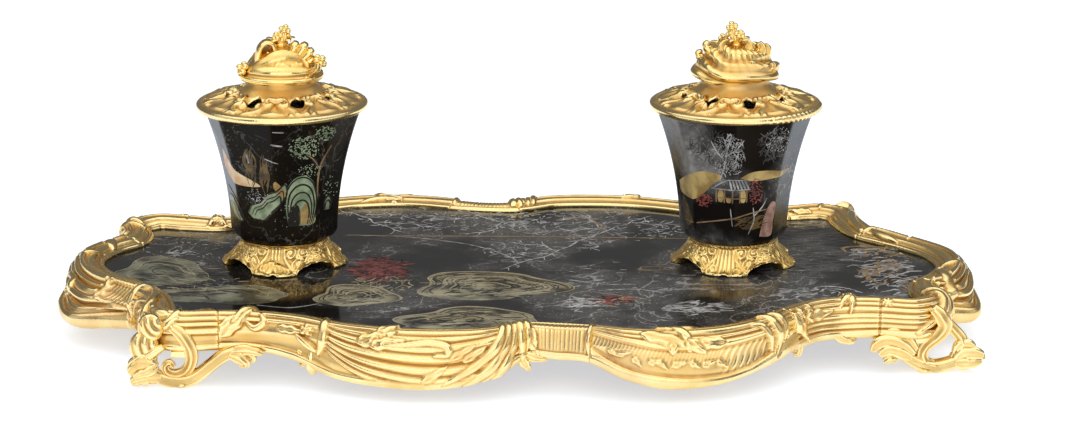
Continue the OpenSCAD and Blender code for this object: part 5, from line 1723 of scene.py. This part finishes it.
PANEL_FILMS = [
    ("panel_rocks", "moss", 0, [(dab, [(rock_edge(rock),) for rock in ROCKS])]),
    # Faint left rocks, partly a painted reflection sheen
    ("panel_dim_rocks", "rock_sheen", 0, [(dab, [(rock_edge(rock),) for rock in DIM_ROCKS])]),
    ("panel_rock_shade", "ink", 1, [
        (agate, [(41, ROCKS[0], 8, 0.9, -40, 190), (42, ROCKS[1], 5, 0.9, 20, 170),
                 (43, ROCKS[2], 6, 0.8, 10, 200), (44, DIM_ROCKS[0], 4, 0.8, 30, 120),
                 (45, DIM_ROCKS[1], 3, 0.8, 40, 160)]),
        (flecks, [(91, 50, (-8, -36), (25, 15), 9, 0.9, 0.1, 0.4),
                  (92, 44, (-22, -84), (23, 10), 10, 1.0, 0.0, 0.3),
                  (93, 30, (-69, -50), (13, 11), 6, 0.8, 0.2, 0.5),
                  (94, 40, (-142, -30), (26, 24), 8, 0.9, -0.5, 0.4)])]),
    ("panel_rock_light", "straw", 2, [
        (agate, [(46, ROCKS[0], 7, 0.8, -60, 200), (47, ROCKS[1], 3, 0.7, 0, 180),
                 (48, ROCKS[2], 6, 0.8, -10, 200), (49, DIM_ROCKS[0], 3, 0.6, 20, 130)]),
        (stroke, [*[(rock_edge(rock, 1.0, -30, 215), 1.0) for rock in ROCKS],
                  *[(rock_edge(rock, share, -20, 190), 0.6) for rock in DIM_ROCKS
                    for share in (1.0, 0.72)]]),
        (flecks, [(95, 60, (-16, -30), (26, 16), 8, 0.7, 0.0, 0.4),
                  (96, 50, (-20, -80), (23, 10), 9, 0.7, 0.0, 0.3),
                  (97, 34, (-69, -45), (13, 11), 6, 0.6, 0.2, 0.5),
                  (98, 36, (-144, -26), (26, 24), 8, 0.6, -0.5, 0.4)])]),
    ("panel_rock_earth", "umber", 3, [
        (agate, [(50, ROCKS[0], 5, 1.3, -30, 150), (51, ROCKS[1], 3, 1.6, 10, 170),
                 (52, ROCKS[2], 3, 1.0, 20, 180)])]),
    ("panel_bare_rocks", "silver", 0, [
        (agate, [(53, BARE_ROCKS[0], 4, 1.0, 70, 190), (54, BARE_ROCKS[1], 4, 1.0, 30, 150),
                 (55, BARE_ROCKS[2], 3, 0.8, 20, 150)]),
        (flecks, [(56, 90, (159, 0), (15, 34), 5, 0.8, 0.2, 0.6),
                  (57, 60, (74, -66), (14, 10), 6, 1.0, 0.1, 0.4),
                  (58, 45, (28, -61), (9, 11), 6, 1.0, 0.1, 0.5),
                  (99, 90, (162, -22), (14, 26), 6, 0.8, 0.5, 0.6),
                  (59, 30, (122, -46), (14, 10), 5, 0.8, 0.3, 0.5)])]),
    ("panel_brown_rocks", "earth", 1, [
        (agate, [(60, BARE_ROCKS[0], 3, 1.4, 60, 200), (61, BARE_ROCKS[1], 3, 1.4, 20, 160)]),
        (flecks, [(76, 50, (161, -6), (14, 34), 6, 1.2, 0.4, 0.5)]),
        (stroke, [(rock_edge(((59, -5), (7, 3), 0.3)), 0.9), (CRACK, 1.4), (BOUGHS[5], 1.2)])]),
    ("panel_boughs", "silver", 1, [
        (branch, [(80 + k, line, 0.8) for k, line in enumerate(BOUGHS)]),
        (stroke, [(line, 0.6) for line in SHORES]),
        (flecks, [(62, 110, (-38, 80), (36, 24), 4, 0.5, 0.5, 0.9),
                  (63, 90, (4, 84), (18, 22), 4, 0.6, 1.0, 1.0),
                  (64, 70, (40, 62), (34, 24), 4, 0.5, 0.3, 0.9),
                  (65, 40, (-4, 26), (12, 14), 4, 0.6, 1.2, 0.9),
                  (66, 40, (66, 60), (12, 12), 3.4, 0.6, 0.2, 0.8),
                  (67, 50, (-142, 34), (26, 26), 2.6, 0.4, 0.2, 1.0),
                  (68, 16, (-149, 20), (6, 6), 4, 0.7, 0.4, 0.6),
                  (69, 60, (60, -20), (44, 30), 4, 0.4, 0.1, 0.5)])]),
    ("panel_ripples", "dim", 0, [(stroke, [(line, 0.5, 4) for line in RIPPLES])]),
    ("panel_shrub_ground", "red_dim", 0, [
        (dab, [(rock_edge(((-61, -5), (11, 16), 0.8)),), (rock_edge(((40, -54), (6, 5), 2.0)),)])]),
    ("panel_shrubs", "red", 1, [
        (flecks, [(70, 130, (-61, -6), (14, 20), 4.4, 1.3, 0.5, 1.2),
                  (71, 34, (40, -54), (9, 8), 4, 1.2, 0.2, 1.0)])]),
    ("panel_shrub_leaves", "straw", 2, [
        (flecks, [(72, 50, (-60, -30), (16, 12), 5, 0.7, 1.0, 0.8),
                  (73, 18, (44, -58), (10, 8), 4, 0.6, 0.6, 0.8)])]),
    ("panel_shrub_stems", "ink", 3, [
        (flecks, [(74, 46, (-61, -6), (13, 19), 4.4, 0.6, 0.4, 1.2),
                  (75, 12, (40, -54), (8, 7), 3.4, 0.6, 0.4, 1.0)])]),
]
for name, colour, layer, marks in PANEL_FILMS:
    film(name, on_panel, paint[colour], marks, layer)

# %% [markdown]
# The fronts of the pots have scenes of their own: tall rocks under a tree on the ink pot, and a small hall
# among trees on the sand pot. The marks are drawn flat, as the pot is seen from the front, and wrapped on
# its eight sides, so a broad patch needs points enough to bend over the corners.

# %% Scenes on the pots
INK_ROCKS = [
    [(3.4, 48), (2.4, 53), (2.3, 59), (3.5, 65.3), (7.1, 69.6), (11.4, 70.2), (14.6, 67), (15.8, 60),
     (15, 53), (13.6, 48)],
    [(-14, 53), (-12.4, 56.6), (-8.6, 58.6), (-5.4, 62.4), (-1, 64.6), (2.8, 67.6), (3.4, 63), (1, 59),
     (-3, 55), (-7, 50.4), (-11.4, 50.6)],
    [(-24, 57.6), (-21.6, 58), (-18.4, 53), (-16.4, 49), (-20, 49.4), (-23.4, 52)],
    [(18.2, 53), (18.6, 57), (20.2, 59), (21.4, 56), (20.8, 52.6)]]


def coat(outline):
    """A patch fine enough to bend over the corners of a pot."""
    return dab(outline, 36, 12)


def nested(outline, shares, wide):
    """Brush lines inside an outline, each a smaller copy of it about the middle of its foot."""
    outline = np.array(outline)
    foot = np.array([outline[:, 0].mean(), outline[:, 1].min()])
    return [stroke(foot + share * (outline - foot), wide, 12) for share in shares]


INK_FILMS = [
    ("ink_scene_streaks", "earth", 0, [
        (stroke, [([(16, 60), (16.4, 68), (18, 75.6), (22.4, 83)], 0.7),
                  ([(17.4, 73), (14.6, 78), (12, 80)], 0.5)])]),
    ("ink_scene_streaks_dim", "umber", 0, [
        (flecks, [(27, 26, (-12.4, 75), (1.5, 6), 9, 0.5, 1.57, 0.03),
                  (28, 24, (-6.2, 72), (1.2, 5), 9, 0.5, 1.57, 0.03)])]),
    ("ink_scene_bank", "cream", 0, [
        (coat, [([(-25.5, 80), (-22, 74), (-17, 70.4), (-11, 67.6), (-8.4, 65.6), (-15, 65), (-21, 66.4),
                  (-24.6, 71)],)])]),
    ("ink_scene_rocks", "jade", 1, [(coat, [(rock,) for rock in INK_ROCKS])]),
    ("ink_scene_ochre", "ochre", 2, [
        (coat, [([(8, 48.6), (8.4, 53), (10.6, 57.4), (12.6, 54), (14, 48.8)],),
                ([(4, 61), (1, 66), (-1.6, 68.6), (-2.4, 66), (0.6, 61.6)],)])]),
    ("ink_scene_hollow", "ink", 2, [
        (coat, [([(3.6, 47.6), (3.4, 52), (5, 56.4), (7.6, 57), (8.6, 53), (8, 48)],)])]),
    ("ink_scene_lines", "ink", 3, [
        (nested, [*[(rock, (0.97, 0.66), 0.7) for rock in INK_ROCKS], (INK_ROCKS[0], (0.82, 0.5), 0.8),
                  (INK_ROCKS[1], (0.8,), 0.5)]),
        (stroke, [([(-24, 62), (-19, 57), (-16, 50)], 0.5)])]),
    ("ink_scene_leaves", "jade", 0, [
        (spray, [(22, 210, (11, 83.6), (6.6, 5.6), 0.55), (23, 90, (20, 89.6), (4.4, 3.6), 0.5),
                 (24, 50, (13, 72.6), (6, 3), 0.5), (29, 40, (21, 62), (3, 6), 0.45)])]),
    ("ink_scene_touches", "silver", 4, [
        (stroke, [([(-14, 80), (-13, 76)], 0.8), ([(-3, 86), (2, 85)], 0.7), ([(-6, 79), (0, 77)], 0.4),
                  ([(-2, 92), (3, 91.4)], 0.5)]),
        (spray, [(25, 26, (2, 52), (14, 6), 0.4), (21, 90, (-9, 60.6), (6, 4), 0.4)])]),
]
for name, colour, layer, marks in INK_FILMS:
    film(name, on_pot("ink"), paint[colour], marks, layer)

SAND_FILMS = [
    ("sand_scene_clouds", "ochre", 1, [
        (coat, [([(-24, 64), (-20.5, 69.6), (-15, 72), (-9.4, 71.6), (-7, 70.2), (-11, 66), (-15, 61),
                  (-19, 58.4), (-23, 59)],), ([(1, 70), (6, 72.4), (14, 72.6), (22.6, 71), (21, 69.6),
                                               (14, 68.7), (7, 68.3)],)])]),
    ("sand_scene_haze", "dim", 0, [
        (flecks, [(36, 110, (-10, 84), (12, 8), 4, 0.35, 1.4, 0.7),
                  (37, 80, (15, 84), (7, 8), 4, 0.35, 1.3, 0.7)])]),
    ("sand_scene_hall", "earth", 2, [
        (stroke, [*[([(x, 58.4), (x, 64.6)], 0.7) for x in (-9, -5.6, -2.2, 1, 4)],
                  ([(-9.4, 60.8), (4.4, 60.6)], 0.5), ([(-21, 47), (-8, 50), (4, 53), (14, 55)], 0.6)])]),
    ("sand_scene_walls", "ochre", 1, [
        (stroke, [*[([(x, 58.6), (x, 64.2)], 2.4, 12) for x in (-7.2, 2.4)],
                  ([(-3.8, 58.6), (-3.8, 61)], 2.0, 12)])]),
    ("sand_scene_roof", "silver", 2, [
        (stroke, [*[([(-2.6 + 1.5 * k, 64.8), (-3.6 + 1.3 * k, 69)], 0.8) for k in range(6)],
                  ([(-11, 64.4), (-7, 67.6), (-3.4, 69.2), (4, 69)], 0.4),
                  ([(-11.4, 64.6), (5.6, 64.6)], 0.5)]),
        (spray, [(31, 330, (-4.6, 81), (7, 10), 0.42), (32, 150, (17, 87), (6, 6), 0.4)]),
        (flecks, [(35, 60, (-4, 80), (7, 10), 2.4, 0.3, 1.3, 0.6)]),
        (stroke, [([(-7.6, 69), (-6, 75), (-5, 83), (-3.4, 91)], 0.5),
                  ([(-5.6, 77), (-10, 83), (-12, 87)], 0.4), ([(-5.2, 80), (0, 85), (2, 88)], 0.4)])]),
    ("sand_scene_shrubs", "red", 3, [
        (spray, [(33, 70, (-14, 58.6), (3.4, 3), 0.6), (34, 100, (7.6, 63), (3.4, 6.4), 0.6)])]),
    ("sand_scene_trunk", "rose", 1, [
        (coat, [([(10, 42.6), (11.6, 50), (14.6, 57.4), (17, 57), (16, 50), (15, 42.8)],)])]),
    ("sand_scene_stems", "silver", 2, [
        (stroke, [([(7, 56), (7.4, 50), (5, 44)], 0.5), ([(-3, 56), (-2, 48)], 0.4),
                  ([(7.4, 52), (11, 56), (13, 60)], 0.5)])]),
    ("sand_scene_moss", "umber", 1, [
        (flecks, [(38, 40, (6, 49.5), (6, 2.6), 5, 0.6, 0.3, 0.2)]),
        (coat, [([(-22.4, 58), (-20, 53), (-18.6, 48), (-20.4, 45), (-22.2, 50)],)])]),
]
for name, colour, layer, marks in SAND_FILMS:
    film(name, on_pot("sand"), paint[colour], marks, layer)

# %% [markdown]
# Some pieces are right as the CAD part has them: the panel, its board, the screws, the bolts with their
# nuts and washers, the liners and the sifter. They keep their own meshes and only get a finish.

# %% Carried-over CAD pieces
CAD_LOOKS = {"lacquer_panel": (tray_lacquer, "lacquer"), "tray_board": (oak, "oak"),
             "rim_screws": (steel, "steel"), "foot_screws": (steel, "steel"), "sand_sifter": (gilt, "gilt")}
for pot in POTS:
    for part in ("_bolt", "_washer", "_nut"):
        CAD_LOOKS[pot + part] = (steel, "steel")
    CAD_LOOKS[pot + "_liner"] = (glass, "glass")
for name, (material, slot) in CAD_LOOKS.items():
    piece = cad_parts[name]
    piece.data.materials.clear()
    piece.data.materials.append(material)
print("CAD pieces with a finish:", len(CAD_LOOKS))
